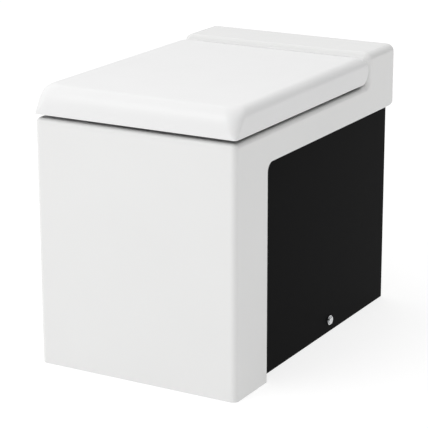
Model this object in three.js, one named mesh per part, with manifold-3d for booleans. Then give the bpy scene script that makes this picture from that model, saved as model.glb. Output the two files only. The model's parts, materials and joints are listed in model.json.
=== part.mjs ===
// A floor-standing, back-to-wall toilet pan: a white C-shaped ceramic shell (front slab, rim deck and raised rear
// block) over a recessed black pedestal, with the bowl, trapway and flush inlet inside, a wrap-over soft-close lid,
// a seat ring, its hinges and fixings, and the two concealed floor brackets with their capped side screws.
// Millimetres, +Z up, the front faces -Y, origin on the floor at the middle of the footprint.
import * as THREE from "three";
import { mergeVertices } from "three/addons/utils/BufferGeometryUtils.js";
import Module from "manifold-3d";

const wasm = await Module();
wasm.setup();

// ---------------------------------------------------------------- driving dimensions
const WIDTH = 360; // overall width of the shell
const LENGTH = 565; // front face to wall face
const DECK_TOP = 408; // ceramic rim height above the floor
const BLOCK_TOP = 462; // top of the raised rear block
const GAP = 0.3; // clearance between pieces that touch

const WALL = 12; // ceramic wall thickness
const SLAB_DEPTH = 101; // front slab, front to back
const RECESS = 17; // how far the pedestal stands in from the shell's side
const SKIRT_BOTTOM = 356.3; // lower edge of the rim band
const EDGE_ROUND = 8; // rounding where the shell's sides meet its outline

const LID_BOTTOM = 412.6;
const HINGE_RADIUS = 22.6; // half the lid's thickness: its back end is round about the hinge axis
const LID_WALL = 6.5;
const LID_OVERHANG = 0.5; // the lid stands this far past the shell on each side
const HINGE_FROM_FRONT = 431;
const HINGE_SPACING = 155; // seat fixing holes, centre to centre
const BLOCK_CLEARANCE = 1.8; // between the lid's back end and the block

const SEAT_BOTTOM = 417;
const SEAT_THICK = 22;
const BARREL_R = 11.8; // hinge knuckles about the axis
const PIN_R = 4;

const OPENING = { w: 256, l: 330, front: 52, r: 100 }; // the hole in the rim deck
const SEAT_HOLE = { w: 214, l: 272, front: 70, r: 96 };

const FIXING_FROM_FRONT = 355; // side screws into the floor brackets
const FIXING_HEIGHT = 21;
const OUTLET_HEIGHT = 180; // centre of the horizontal outlet
const INLET_HEIGHT = 325; // centre of the flush inlet

const ROUND_SIDES = 16; // facets of small round pieces

// worked out from them
const HALF = WIDTH / 2;
const LID_TOP = LID_BOTTOM + 2 * HINGE_RADIUS;
const HINGE_HEIGHT = LID_BOTTOM + HINGE_RADIUS;
const BLOCK_FRONT = HINGE_FROM_FRONT + HINGE_RADIUS + BLOCK_CLEARANCE;
const PEDESTAL_HALF = HALF - RECESS;
const y = (fromFront) => fromFront - LENGTH / 2;

// ---------------------------------------------------------------- materials
const finish = (color, roughness, metalness = 0) => new THREE.MeshStandardMaterial({ color, roughness, metalness });
const WHITE_GLAZE = finish(0xf2f3f3, 0.12);
const BLACK_GLAZE = finish(0x161616, 0.2);
const WHITE_RESIN = finish(0xf4f4f4, 0.2);
const CHROME = finish(0xc9cccf, 0.12, 1);
const STEEL = finish(0x9a9ea2, 0.35, 1);
const RUBBER = finish(0xb9bcbe, 0.7);
const DARK_RUBBER = finish(0x232323, 0.8);
const NYLON = finish(0xdedfdd, 0.5);

// ---------------------------------------------------------------- solids and placing
function solid(geometry) {
  const plain = geometry.index ? geometry.toNonIndexed() : geometry.clone();
  for (const name of Object.keys(plain.attributes)) if (name !== "position") plain.deleteAttribute(name);
  const merged = mergeVertices(plain, 1e-3);
  return new wasm.Manifold(
    new wasm.Mesh({
      numProp: 3,
      vertProperties: new Float32Array(merged.attributes.position.array),
      triVerts: new Uint32Array(merged.index.array),
    }),
  );
}

function mesh(name, made, material) {
  const data = made.getMesh();
  const geometry = new THREE.BufferGeometry()
    .setAttribute("position", new THREE.BufferAttribute(new Float32Array(data.vertProperties), 3))
    .setIndex(new THREE.BufferAttribute(new Uint32Array(data.triVerts), 1));
  geometry.computeVertexNormals();
  const placed = new THREE.Mesh(geometry, material);
  placed.name = name;
  return placed;
}

const add = (...solids) => solids.reduce((a, b) => a.add(b));
const cut = (body, ...tools) => tools.reduce((a, b) => a.subtract(b), body);

// A box between two corners given as [x, from the front, z].
function block(low, high) {
  const size = high.map((v, i) => v - low[i]);
  const centre = high.map((v, i) => (v + low[i]) / 2);
  return solid(new THREE.BoxGeometry(...size).translate(centre[0], y(centre[1]), centre[2]));
}

// Extrudes an outline drawn in (from the front, z) across the width, from x0 to x1, its side edges rounded.
function across(outline, x0, x1, round = 0, segments = 3) {
  const geometry = new THREE.ExtrudeGeometry(outline, {
    depth: x1 - x0 - 2 * round,
    bevelEnabled: round > 0,
    bevelThickness: round,
    bevelSize: round,
    bevelOffset: -round,
    bevelSegments: segments,
    curveSegments: 6,
  });
  const turn = new THREE.Matrix4().makeBasis(
    new THREE.Vector3(0, 1, 0),
    new THREE.Vector3(0, 0, 1),
    new THREE.Vector3(1, 0, 0),
  );
  return solid(geometry.applyMatrix4(turn).translate(x0 + round, y(0), 0));
}

// Extrudes a plan outline, drawn in (x, from the front), upwards.
function upright(outline, z0, z1, round = 0, curveSegments = 8) {
  const geometry = new THREE.ExtrudeGeometry(outline, {
    depth: z1 - z0 - 2 * round,
    bevelEnabled: round > 0,
    bevelThickness: round,
    bevelSize: round,
    bevelOffset: -round,
    bevelSegments: 2,
    curveSegments,
  });
  return solid(geometry.translate(0, y(0), z0 + round));
}

function roundedRectangle(w, front, l, r, path = new THREE.Shape()) {
  const h = w / 2;
  const back = front + l;
  path.moveTo(-h + r, front);
  path.lineTo(h - r, front);
  path.absarc(h - r, front + r, r, -Math.PI / 2, 0, false);
  path.lineTo(h, back - r);
  path.absarc(h - r, back - r, r, 0, Math.PI / 2, false);
  path.lineTo(-h + r, back);
  path.absarc(-h + r, back - r, r, Math.PI / 2, Math.PI, false);
  path.lineTo(-h, front + r);
  path.absarc(-h + r, front + r, r, Math.PI, 1.5 * Math.PI, false);
  return path;
}

// A round bar or disc between two heights.
function post(x, fromFront, z0, z1, r, sides = ROUND_SIDES) {
  const geometry = new THREE.CylinderGeometry(r, r, z1 - z0, sides).rotateX(Math.PI / 2);
  return solid(geometry.translate(x, y(fromFront), (z0 + z1) / 2));
}

// A round bar along X.
function rod(x0, x1, fromFront, z, r, sides = ROUND_SIDES) {
  const geometry = new THREE.CylinderGeometry(r, r, x1 - x0, sides).rotateZ(Math.PI / 2);
  return solid(geometry.translate((x0 + x1) / 2, y(fromFront), z));
}

// A round bar along Y: in the middle plane, or off it at x.
function stud(x, d0, d1, z, r, sides = 12) {
  return solid(new THREE.CylinderGeometry(r, r, d1 - d0, sides).translate(x, y((d0 + d1) / 2), z));
}

const along = (d0, d1, z, r) => stud(0, d0, d1, z, r, 20);

// A round solid about a line along X at one height: its profile is a list of [x, radius].
function turned(profile, fromFront, z, sides = ROUND_SIDES) {
  const points = profile.map(([x, r]) => new THREE.Vector2(r, x));
  const geometry = new THREE.LatheGeometry(points, sides).rotateZ(-Math.PI / 2);
  return solid(geometry.translate(0, y(fromFront), z));
}

// A closed solid through rings of points, each ring the same count, lowest first.
function loft(rings) {
  const n = rings[0].length;
  const points = rings.flat();
  const faces = [];
  for (let k = 0; k + 1 < rings.length; k++) {
    for (let i = 0; i < n; i++) {
      const a = k * n + i;
      const b = k * n + ((i + 1) % n);
      faces.push(a, b, b + n, a, b + n, a + n);
    }
  }
  const middle = (ring) => ring.reduce((s, p) => s.add(p), new THREE.Vector3()).divideScalar(n);
  const low = points.push(middle(rings[0])) - 1;
  const high = points.push(middle(rings.at(-1))) - 1;
  const top = (rings.length - 1) * n;
  for (let i = 0; i < n; i++) {
    faces.push(low, (i + 1) % n, i);
    faces.push(high, top + i, top + ((i + 1) % n));
  }
  const geometry = new THREE.BufferGeometry().setFromPoints(points).setIndex(faces);
  return solid(geometry);
}

// A tube of round section along a smooth path of [from the front, z] points in the middle plane.
function pipe(points, r, sides, steps) {
  const path = new THREE.CatmullRomCurve3(points.map(([d, z]) => new THREE.Vector3(0, y(d), z)));
  const ring = new THREE.Shape().absarc(0, 0, r, 0, 2 * Math.PI, false);
  return solid(
    new THREE.ExtrudeGeometry(ring, { steps, curveSegments: sides, bevelEnabled: false, extrudePath: path }),
  );
}

// ---------------------------------------------------------------- the ceramic
const DECK_THICK = WALL;
const DECK_UNDER = DECK_TOP - DECK_THICK;
const RETURN_TOP = SKIRT_BOTTOM + WALL; // top of the flange that turns in under the rim band
const REAR_WALL_BOTTOM = 385; // the shell closes its back above this
const LIP_DROP = 28; // the flushing lip that hangs below the rim opening
const LIP_WALL = 8;
const INNER_HALF = PEDESTAL_HALF - WALL;

// The shell's outline seen from the side, before the recesses are cut: it runs on below the floor to be trimmed.
function shellOutline() {
  const rear = 11;
  const crest = 12;
  const pocket = 2;
  const nose = 10;
  const s = new THREE.Shape();
  s.moveTo(0, -30);
  s.lineTo(LENGTH, -30);
  s.lineTo(LENGTH, BLOCK_TOP - rear);
  s.absarc(LENGTH - rear, BLOCK_TOP - rear, rear, 0, Math.PI / 2, false);
  s.lineTo(BLOCK_FRONT + crest, BLOCK_TOP);
  s.absarc(BLOCK_FRONT + crest, BLOCK_TOP - crest, crest, Math.PI / 2, Math.PI, false);
  s.lineTo(BLOCK_FRONT, DECK_TOP + pocket);
  s.absarc(BLOCK_FRONT - pocket, DECK_TOP + pocket, pocket, 0, -Math.PI / 2, true);
  s.lineTo(nose, DECK_TOP);
  s.absarc(nose, DECK_TOP - nose, nose, Math.PI / 2, Math.PI, false);
  s.lineTo(0, -30);
  return s;
}

// The recess behind the slab and under the rim band, drawn in by a clearance. Its inner corner is rounded, and it
// sweeps up at the back round the band's lower rear corner.
function recessOutline(inset, low) {
  const inner = 15;
  const rear = 22;
  const front = SLAB_DEPTH + inset;
  const top = SKIRT_BOTTOM - inset;
  const back = LENGTH + 10;
  const s = new THREE.Shape();
  s.moveTo(front, low);
  s.lineTo(back, low);
  s.lineTo(back, SKIRT_BOTTOM + rear);
  s.lineTo(LENGTH + inset, SKIRT_BOTTOM + rear);
  s.absarc(LENGTH - rear, SKIRT_BOTTOM + rear, rear + inset, 0, -Math.PI / 2, true);
  s.lineTo(SLAB_DEPTH + inner, top);
  s.absarc(SLAB_DEPTH + inner, SKIRT_BOTTOM - inner, inner - inset, Math.PI / 2, Math.PI, false);
  s.lineTo(front, low);
  return s;
}

function whiteShell() {
  const wide = HALF - WALL;
  const past = LENGTH + 5;
  const hollows = [
    block([-wide, WALL, -5], [wide, SLAB_DEPTH - WALL, DECK_UNDER]),
    block([-INNER_HALF, SLAB_DEPTH - WALL - 1, -5], [INNER_HALF, LENGTH - WALL, DECK_UNDER]),
    block([-INNER_HALF, SLAB_DEPTH, -5], [INNER_HALF, past, REAR_WALL_BOTTOM]),
    block([-wide, SLAB_DEPTH - WALL - 1, RETURN_TOP], [wide, LENGTH - WALL, DECK_UNDER]),
    block([-wide, BLOCK_FRONT + WALL, DECK_UNDER - 1], [wide, LENGTH - WALL, BLOCK_TOP - WALL]),
  ];
  const { w, l, front, r } = OPENING;
  const lip = upright(
    roundedRectangle(w + 2 * LIP_WALL, front - LIP_WALL, l + 2 * LIP_WALL, r + LIP_WALL),
    DECK_TOP - LIP_DROP,
    DECK_UNDER + 2,
  );
  const hole = upright(roundedRectangle(w, front, l, r), DECK_TOP - 60, DECK_TOP + 5);
  const boltHoles = [-1, 1].map((side) =>
    post((side * HINGE_SPACING) / 2, HINGE_FROM_FRONT, DECK_UNDER - 5, DECK_TOP + 5, 7, 12),
  );
  const recess = across(recessOutline(0, -5), -HALF - 5, HALF + 5);
  const floor = block([-HALF - 5, -5, -50], [HALF + 5, past, 0]);
  const shell = cut(across(shellOutline(), -HALF, HALF, EDGE_ROUND), floor, recess, ...hollows);
  return cut(add(shell, lip), hole, ...boltHoles);
}

// The black pedestal: two side walls tied by a low cross wall behind the slab, open at the back, top and floor.
const TIE_TOP = 110;
function pedestal() {
  const front = SLAB_DEPTH + GAP;
  const outside = across(recessOutline(GAP, 0), -PEDESTAL_HALF, PEDESTAL_HALF);
  return cut(
    outside,
    block([-HALF, LENGTH, -5], [HALF, LENGTH + 20, BLOCK_TOP]),
    block([-INNER_HALF, front + WALL, -5], [INNER_HALF, LENGTH + 5, BLOCK_TOP]),
    block([-INNER_HALF, front - 5, TIE_TOP], [INNER_HALF, front + WALL + 5, BLOCK_TOP]),
    rod(-HALF, HALF, FIXING_FROM_FRONT, FIXING_HEIGHT, SLEEVE_R + GAP),
  );
}

// The bowl's inside, from the bottom of its sump up to the rim: half width, half length, centre from the front.
const BOWL_WALL = 9;
const BOWL_TOP = DECK_UNDER - GAP;
const BOWL_LEVELS = [
  { z: 132, a: 34, b: 44, c: 284, p: 2.1 },
  { z: 142, a: 45, b: 56, c: 282, p: 2.1 },
  { z: 185, a: 58, b: 75, c: 271, p: 2.2 },
  { z: 235, a: 80, b: 107, c: 249, p: 2.4 },
  { z: 290, a: 109, b: 142, c: 229, p: 2.7 },
  { z: 340, a: 129, b: 166, c: 221, p: 3 },
  { z: 368, a: 136, b: 174, c: 219, p: 3.3 },
  { z: 378, a: 142, b: 179, c: 218, p: 3.4 },
  { z: BOWL_TOP, a: 144, b: 180, c: 218, p: 3.4 },
];
const BOWL_POINTS = 24;

// One ring of the bowl: a squared ellipse, where power 2 is a true ellipse and more is squarer.
function bowlRing({ z, a, b, c, p }, grow) {
  const bend = (v) => Math.sign(v) * Math.abs(v) ** (2 / p);
  const ring = [];
  for (let i = 0; i < BOWL_POINTS; i++) {
    const t = (2 * Math.PI * i) / BOWL_POINTS;
    ring.push(new THREE.Vector3((a + grow) * bend(Math.cos(t)), y(c + (b + grow) * bend(Math.sin(t))), z));
  }
  return ring;
}

const TRAP_BORE = 27;
const TRAP_WALL = 8;
const OUTLET_R = 51;
const TRAP_CROWN = 434; // the trap's highest point, where the bowl's rising leg ends
const TRAP_FACETS = [12, 16]; // round the bore, and along it
const INLET_FACETS = [10, 8];
const TRAP_PATH = [
  [292, 162],
  [338, 162],
  [368, 172],
  [386, 198],
  [392, 232],
  [405, 262],
  [TRAP_CROWN, 276],
  [463, 264],
  [476, 236],
  [484, 206],
  [506, 184],
  [530, OUTLET_HEIGHT],
  [LENGTH - 4, OUTLET_HEIGHT],
];
const INLET_BORE = 23;
const INLET_R = 31;
const INLET_PATH = [
  [392, 365.5],
  [430, 354.5],
  [470, 336],
  [502, 326],
  [530, INLET_HEIGHT],
  [LENGTH - 6, INLET_HEIGHT],
];

const past = (path) => [...path.slice(0, -1), [LENGTH + 10, path.at(-1)[1]]];
const trapOutside = () => pipe(TRAP_PATH, TRAP_BORE + TRAP_WALL, ...TRAP_FACETS);
const trapBore = () => pipe(past(TRAP_PATH), TRAP_BORE, ...TRAP_FACETS);
const inletBore = () => pipe([[375, 371.5], ...past(INLET_PATH)], INLET_BORE, ...INLET_FACETS);

function bowlOutside(clearance = 0) {
  const lowest = BOWL_LEVELS[0];
  return loft([
    bowlRing({ ...lowest, z: lowest.z - BOWL_WALL - clearance }, BOWL_WALL / 2 + clearance),
    ...BOWL_LEVELS.slice(1).map((level) => bowlRing(level, BOWL_WALL + clearance)),
  ]);
}

// The bowl with its sump and the rising leg of the trap.
function bowl() {
  const inner = loft([
    ...BOWL_LEVELS.slice(0, -1).map((level) => bowlRing(level, 0)),
    bowlRing({ ...BOWL_LEVELS.at(-1), z: BOWL_TOP + 5 }, 0),
  ]);
  const rising = cut(trapOutside(), block([-60, TRAP_CROWN, 100], [60, LENGTH + 20, 340]));
  return cut(add(bowlOutside(), rising), inner, trapBore(), inletBore());
}

// The falling leg of the trap, with the horizontal outlet spigot.
function trapway() {
  const falling = cut(trapOutside(), block([-60, 250, 100], [60, TRAP_CROWN + GAP, 340]));
  const spigot = along(LENGTH - 66, LENGTH - 4, OUTLET_HEIGHT, OUTLET_R);
  const spigotBore = along(LENGTH - 58, LENGTH, OUTLET_HEIGHT, OUTLET_R - TRAP_WALL);
  return cut(add(falling, spigot), trapBore(), spigotBore);
}

// The flush inlet, from its horizontal socket up to the back of the bowl.
function flushInlet() {
  return cut(pipe(INLET_PATH, INLET_R, ...INLET_FACETS), bowlOutside(GAP), inletBore());
}

// The lipped rubber seal that the flush pipe pushes into.
function inletSeal() {
  const mouth = LENGTH - 6;
  const collar = 4;
  const body = add(
    along(mouth - 26, mouth + 1, INLET_HEIGHT, INLET_BORE - GAP - 0.6),
    along(mouth + GAP, mouth + collar, INLET_HEIGHT, INLET_R),
  );
  return cut(body, along(mouth - 30, mouth + 10, INLET_HEIGHT, 18));
}

// ---------------------------------------------------------------- floor fixings, one per side
const SLEEVE_R = 7.5;
const SCREW_R = 3.4;
const CAP_R = 8.3;
const CAP_THICK = 5;
const BRACKET_THICK = 4;

function sideways(side, x0, x1) {
  return side > 0 ? [x0, x1] : [-x1, -x0];
}

function sleeve(side) {
  const [a, b] = sideways(side, INNER_HALF + GAP, PEDESTAL_HALF - GAP);
  const bore = rod(a - 5, b + 5, FIXING_FROM_FRONT, FIXING_HEIGHT, SCREW_R + GAP);
  return cut(rod(a, b, FIXING_FROM_FRONT, FIXING_HEIGHT, SLEEVE_R), bore);
}

function sideScrew(side) {
  const head = rod(...sideways(side, PEDESTAL_HALF + GAP, PEDESTAL_HALF + 2.2), FIXING_FROM_FRONT, FIXING_HEIGHT, 6);
  const shank = rod(...sideways(side, INNER_HALF - 22, PEDESTAL_HALF + 1), FIXING_FROM_FRONT, FIXING_HEIGHT, SCREW_R);
  return add(head, shank);
}

// A chrome cover cap that clips over the screw head: a short rim and a slightly domed face.
function capCover(side) {
  const base = PEDESTAL_HALF + GAP;
  const face = PEDESTAL_HALF + CAP_THICK;
  const sign = Math.sign(side);
  const profile = [
    [base, 6.6],
    [base, CAP_R],
    [face - 1.4, CAP_R],
    [face - 0.7, CAP_R - 0.6],
    [face, CAP_R - 2.6],
    [face + 0.5, 0],
    [face - 1.6, 0],
    [face - 1.6, 6.6],
    [base, 6.6],
  ];
  const points = profile.map(([x, r]) => new THREE.Vector2(r, x));
  const geometry = new THREE.LatheGeometry(points, ROUND_SIDES).rotateZ(-Math.PI / 2);
  if (sign < 0) geometry.rotateY(Math.PI);
  return solid(geometry.translate(0, y(FIXING_FROM_FRONT), FIXING_HEIGHT));
}

// The angle bracket on the floor inside the pedestal, with a foot for the floor screw and a threaded boss.
function floorBracket(side) {
  const outer = INNER_HALF - GAP;
  const half = 24;
  const at = FIXING_FROM_FRONT;
  const [u0, u1] = sideways(side, outer - BRACKET_THICK, outer);
  const [f0, f1] = sideways(side, outer - 58, outer);
  const [b0, b1] = sideways(side, outer - 18, outer - 1);
  const upright_ = block([u0, at - half, 0], [u1, at + half, 40]);
  const foot = block([f0, at - half, 0], [f1, at + half, BRACKET_THICK]);
  const boss = rod(b0, b1, at, FIXING_HEIGHT, 9);
  const hole = rod(f0 - 5, f1 + 5, at, FIXING_HEIGHT, SCREW_R + GAP);
  const screwHole = post(side * (outer - 40), at, -5, 12, 4, 12);
  return cut(add(upright_, foot, boss), hole, screwHole);
}

function floorScrew(side) {
  const x = side * (INNER_HALF - GAP - 40);
  const at = FIXING_FROM_FRONT;
  const washer = post(x, at, BRACKET_THICK + GAP, BRACKET_THICK + 2, 9);
  const head = post(x, at, BRACKET_THICK + 1.5, BRACKET_THICK + 7, 6.5, 6);
  return add(washer, head, post(x, at, 0.1, BRACKET_THICK + 2, 3.4, 12));
}

// ---------------------------------------------------------------- lid and seat
const KNUCKLE = { postHalf: 14, side: 0.8, lug: 14, barrel: 42 };
const HINGE_X = HINGE_SPACING / 2;
const OUTSIDE = HINGE_X + KNUCKLE.postHalf + KNUCKLE.side; // where the lid's knuckles start
const INSIDE = HINGE_X - KNUCKLE.postHalf - KNUCKLE.side; // where the seat's knuckles start
const PLATE = 9; // lid's top plate
const REAR_REACH = 14; // the lid's hollow runs this far behind the hinge axis
const DAMPER_R = 8.6;

function lidOutline(toFloor) {
  const nose = 27;
  const s = new THREE.Shape();
  const bottom = toFloor ? LID_BOTTOM - 40 : LID_BOTTOM;
  s.moveTo(0, bottom);
  if (toFloor) {
    s.lineTo(HINGE_FROM_FRONT + HINGE_RADIUS, bottom);
    s.lineTo(HINGE_FROM_FRONT + HINGE_RADIUS, HINGE_HEIGHT);
    s.absarc(HINGE_FROM_FRONT, HINGE_HEIGHT, HINGE_RADIUS, 0, Math.PI / 2, false);
  } else {
    s.lineTo(HINGE_FROM_FRONT, bottom);
    s.absarc(HINGE_FROM_FRONT, HINGE_HEIGHT, HINGE_RADIUS, -Math.PI / 2, Math.PI / 2, false);
  }
  s.lineTo(nose, LID_TOP);
  s.absarc(nose, LID_TOP - nose, nose, Math.PI / 2, Math.PI, false);
  s.lineTo(0, bottom);
  return s;
}

function knuckle(x0, x1, reach, z0, z1) {
  const barrel = rod(x0, x1, HINGE_FROM_FRONT, HINGE_HEIGHT, BARREL_R);
  const arm = block([x0, HINGE_FROM_FRONT - reach, z0], [x1, HINGE_FROM_FRONT, z1]);
  return add(barrel, arm);
}

const LID_KNUCKLES = [
  [-OUTSIDE - KNUCKLE.barrel, -OUTSIDE],
  [OUTSIDE, OUTSIDE + KNUCKLE.lug],
];
const SEAT_KNUCKLES = [
  [-INSIDE, -INSIDE + KNUCKLE.lug],
  [INSIDE - KNUCKLE.barrel, INSIDE],
];

function lid() {
  const half = HALF + LID_OVERHANG;
  const round = 12;
  const rounded = across(lidOutline(true), -half, half, round, 3);
  const outside = rounded.intersect(across(lidOutline(false), -half - 5, half + 5));
  const under = LID_TOP - PLATE;
  const inner = half - LID_WALL;
  const back = HINGE_FROM_FRONT + REAR_REACH;
  const steps = [
    [438, LID_WALL + 0.5],
    [444, 10],
    [under, 13.5],
  ];
  const hollows = steps.map(([top, front]) =>
    upright(roundedRectangle(2 * inner, front, back - front, 10), LID_BOTTOM - 40, top),
  );
  const bays = [-1, 1].map((side) => {
    const [x0, x1] = sideways(side, INSIDE - KNUCKLE.barrel - 4, OUTSIDE + KNUCKLE.barrel + 4);
    return block([x0, HINGE_FROM_FRONT - 40, LID_BOTTOM - 40], [x1, HINGE_FROM_FRONT + 40, under]);
  });
  const shell = cut(outside, ...hollows, ...bays);
  const lugs = LID_KNUCKLES.map(([x0, x1]) => {
    const web = block([x0, HINGE_FROM_FRONT - 9, HINGE_HEIGHT], [x1, HINGE_FROM_FRONT + 9, under + 1]);
    return add(rod(x0, x1, HINGE_FROM_FRONT, HINGE_HEIGHT, BARREL_R), web);
  });
  const [dx0, dx1] = LID_KNUCKLES[0];
  const far = OUTSIDE + KNUCKLE.barrel + 1;
  const pinBore = rod(-far, far, HINGE_FROM_FRONT, HINGE_HEIGHT, PIN_R + GAP);
  const damperBore = rod(dx0 - 1, dx1 - 6, HINGE_FROM_FRONT, HINGE_HEIGHT, DAMPER_R + GAP);
  return cut(add(shell, ...lugs), pinBore, damperBore);
}

function seat() {
  const half = HALF + LID_OVERHANG - LID_WALL - 12;
  const front = LID_WALL + 12;
  const back = HINGE_FROM_FRONT - HINGE_RADIUS - 1;
  const top = SEAT_BOTTOM + SEAT_THICK;
  const outline = roundedRectangle(2 * half, front, back - front, 24);
  const { w, l, front: hole, r } = SEAT_HOLE;
  outline.holes.push(roundedRectangle(w, hole, l, r, new THREE.Path()));
  const ring = upright(outline, SEAT_BOTTOM, top, 4, 5);
  const lugs = SEAT_KNUCKLES.map(([x0, x1]) => knuckle(x0, x1, 34, SEAT_BOTTOM + 5, top - 1));
  const [dx0, dx1] = SEAT_KNUCKLES[1];
  const pinBore = rod(-INSIDE - 1, INSIDE + 1, HINGE_FROM_FRONT, HINGE_HEIGHT, PIN_R + GAP);
  const damperBore = rod(dx0 - 1, dx1 - 6, HINGE_FROM_FRONT, HINGE_HEIGHT, DAMPER_R + GAP);
  return cut(add(ring, ...lugs), pinBore, damperBore);
}

// A soft-close cartridge: a plain cylinder with a blind hole for the fixed pin.
const DAMPER_LENGTH = 35;
function damper([x0, x1], pinFromRight) {
  const end = x1 - 6 - GAP;
  const body = rod(end - DAMPER_LENGTH, end, HINGE_FROM_FRONT, HINGE_HEIGHT, DAMPER_R);
  const bore = pinFromRight
    ? rod(end - 24, end + 5, HINGE_FROM_FRONT, HINGE_HEIGHT, PIN_R + GAP)
    : rod(end - DAMPER_LENGTH - 5, end - 10, HINGE_FROM_FRONT, HINGE_HEIGHT, PIN_R + GAP);
  return cut(body, bore);
}

// ---------------------------------------------------------------- hinge hardware, one set per side
const PLATE_THICK = 2;
const POST_FOOT = 4;

function hingePlate(side) {
  const x = side * HINGE_X;
  const disc = post(x, HINGE_FROM_FRONT, DECK_TOP + GAP, DECK_TOP + PLATE_THICK, 16);
  return cut(disc, post(x, HINGE_FROM_FRONT, DECK_TOP - 5, DECK_TOP + 5, 4.4, 12));
}

function hingePost(side) {
  const x = side * HINGE_X;
  const d = HINGE_FROM_FRONT;
  const foot = DECK_TOP + PLATE_THICK + GAP;
  const base = post(x, d, foot, foot + POST_FOOT, 14.5);
  const column = block([x - 9, d - 9, foot + 1], [x + 9, d + 9, HINGE_HEIGHT]);
  const barrel = rod(x - KNUCKLE.postHalf, x + KNUCKLE.postHalf, d, HINGE_HEIGHT, BARREL_R);
  const bore = rod(x - 20, x + 20, d, HINGE_HEIGHT, PIN_R + GAP);
  const buttonHole = stud(x, d - 20, d - 9 + BUTTON.hole, BUTTON.z, BUTTON.r + GAP);
  return cut(add(base, column, barrel), bore, buttonHole, post(x, d, foot - 5, foot + 7, 4.3, 12));
}

// The quick-release button that slides into the front of the post.
const BUTTON = { r: 3.5, proud: 2.8, length: 6.5, hole: 7.4, z: 424 };

function releaseButton(side) {
  const front = HINGE_FROM_FRONT - 9 - BUTTON.proud;
  return stud(side * HINGE_X, front, front + BUTTON.length, BUTTON.z, BUTTON.r);
}

function hingePin(side) {
  const lidEnd = side < 0 ? OUTSIDE + 6 + 16 : OUTSIDE + KNUCKLE.lug;
  const seatEnd = side < 0 ? INSIDE - KNUCKLE.lug : INSIDE - 6 - 16;
  return rod(...sideways(side, seatEnd, lidEnd), HINGE_FROM_FRONT, HINGE_HEIGHT, PIN_R);
}

function hingeBolt(side) {
  const top = DECK_TOP + PLATE_THICK + GAP + 6;
  return post(side * HINGE_X, HINGE_FROM_FRONT, top - 60, top, 4, 12);
}

function boltWasher(side) {
  const x = side * HINGE_X;
  const rubber = post(x, HINGE_FROM_FRONT, DECK_UNDER - 9, DECK_UNDER - GAP, 13);
  return cut(rubber, post(x, HINGE_FROM_FRONT, DECK_UNDER - 20, DECK_UNDER + 5, 4.3, 12));
}

function wingNut(side) {
  const x = side * HINGE_X;
  const top = DECK_UNDER - 9 - GAP;
  const d = HINGE_FROM_FRONT;
  const hub = post(x, d, top - 11, top, 8.5, 12);
  const wings = block([x - 16, d - 1.8, top - 13], [x + 16, d + 1.8, top - 3]);
  return cut(add(hub, wings), post(x, d, top - 30, top + 5, 4.3, 12));
}

function buffer(x, fromFront, z0, z1, r) {
  return post(x, fromFront, z0 + GAP, z1 - GAP, r, 16);
}

// ---------------------------------------------------------------- the assembly
const toilet = new THREE.Group();
toilet.add(mesh("white_shell", whiteShell(), WHITE_GLAZE));
toilet.add(mesh("black_pedestal", pedestal(), BLACK_GLAZE));
toilet.add(mesh("bowl", bowl(), WHITE_GLAZE));
toilet.add(mesh("trapway", trapway(), WHITE_GLAZE));
toilet.add(mesh("flush_inlet", flushInlet(), WHITE_GLAZE));
toilet.add(mesh("inlet_seal", inletSeal(), DARK_RUBBER));
toilet.add(mesh("lid", lid(), WHITE_RESIN));
toilet.add(mesh("seat_ring", seat(), WHITE_RESIN));
toilet.add(mesh("lid_damper", damper(LID_KNUCKLES[0], true), NYLON));
toilet.add(mesh("seat_damper", damper(SEAT_KNUCKLES[1], true), NYLON));

for (const [word, side] of [["left", -1], ["right", 1]]) {
  toilet.add(mesh(`screw_sleeve_${word}`, sleeve(side), NYLON));
  toilet.add(mesh(`side_screw_${word}`, sideScrew(side), STEEL));
  toilet.add(mesh(`screw_cap_${word}`, capCover(side), CHROME));
  toilet.add(mesh(`floor_bracket_${word}`, floorBracket(side), STEEL));
  toilet.add(mesh(`floor_screw_${word}`, floorScrew(side), STEEL));
  toilet.add(mesh(`hinge_plate_${word}`, hingePlate(side), STEEL));
  toilet.add(mesh(`hinge_post_${word}`, hingePost(side), CHROME));
  toilet.add(mesh(`release_button_${word}`, releaseButton(side), NYLON));
  toilet.add(mesh(`hinge_pin_${word}`, hingePin(side), STEEL));
  toilet.add(mesh(`hinge_bolt_${word}`, hingeBolt(side), STEEL));
  toilet.add(mesh(`bolt_washer_${word}`, boltWasher(side), DARK_RUBBER));
  toilet.add(mesh(`wing_nut_${word}`, wingNut(side), NYLON));
  const x = side * 150;
  const seatTop = SEAT_BOTTOM + SEAT_THICK;
  const lidUnder = LID_TOP - PLATE;
  toilet.add(mesh(`seat_buffer_front_${word}`, buffer(x, 48, DECK_TOP, SEAT_BOTTOM, 9), RUBBER));
  toilet.add(mesh(`seat_buffer_rear_${word}`, buffer(x, 350, DECK_TOP, SEAT_BOTTOM, 9), RUBBER));
  toilet.add(mesh(`lid_buffer_front_${word}`, buffer(x, 60, seatTop, lidUnder, 7), RUBBER));
  toilet.add(mesh(`lid_buffer_rear_${word}`, buffer(x, 330, seatTop, lidUnder, 7), RUBBER));
}

export default toilet;
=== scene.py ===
import json
import math

import bmesh
import bpy
import numpy as np
from bpy.props import FloatProperty, FloatVectorProperty, IntProperty, PointerProperty
from mathutils import Matrix, Vector


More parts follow.
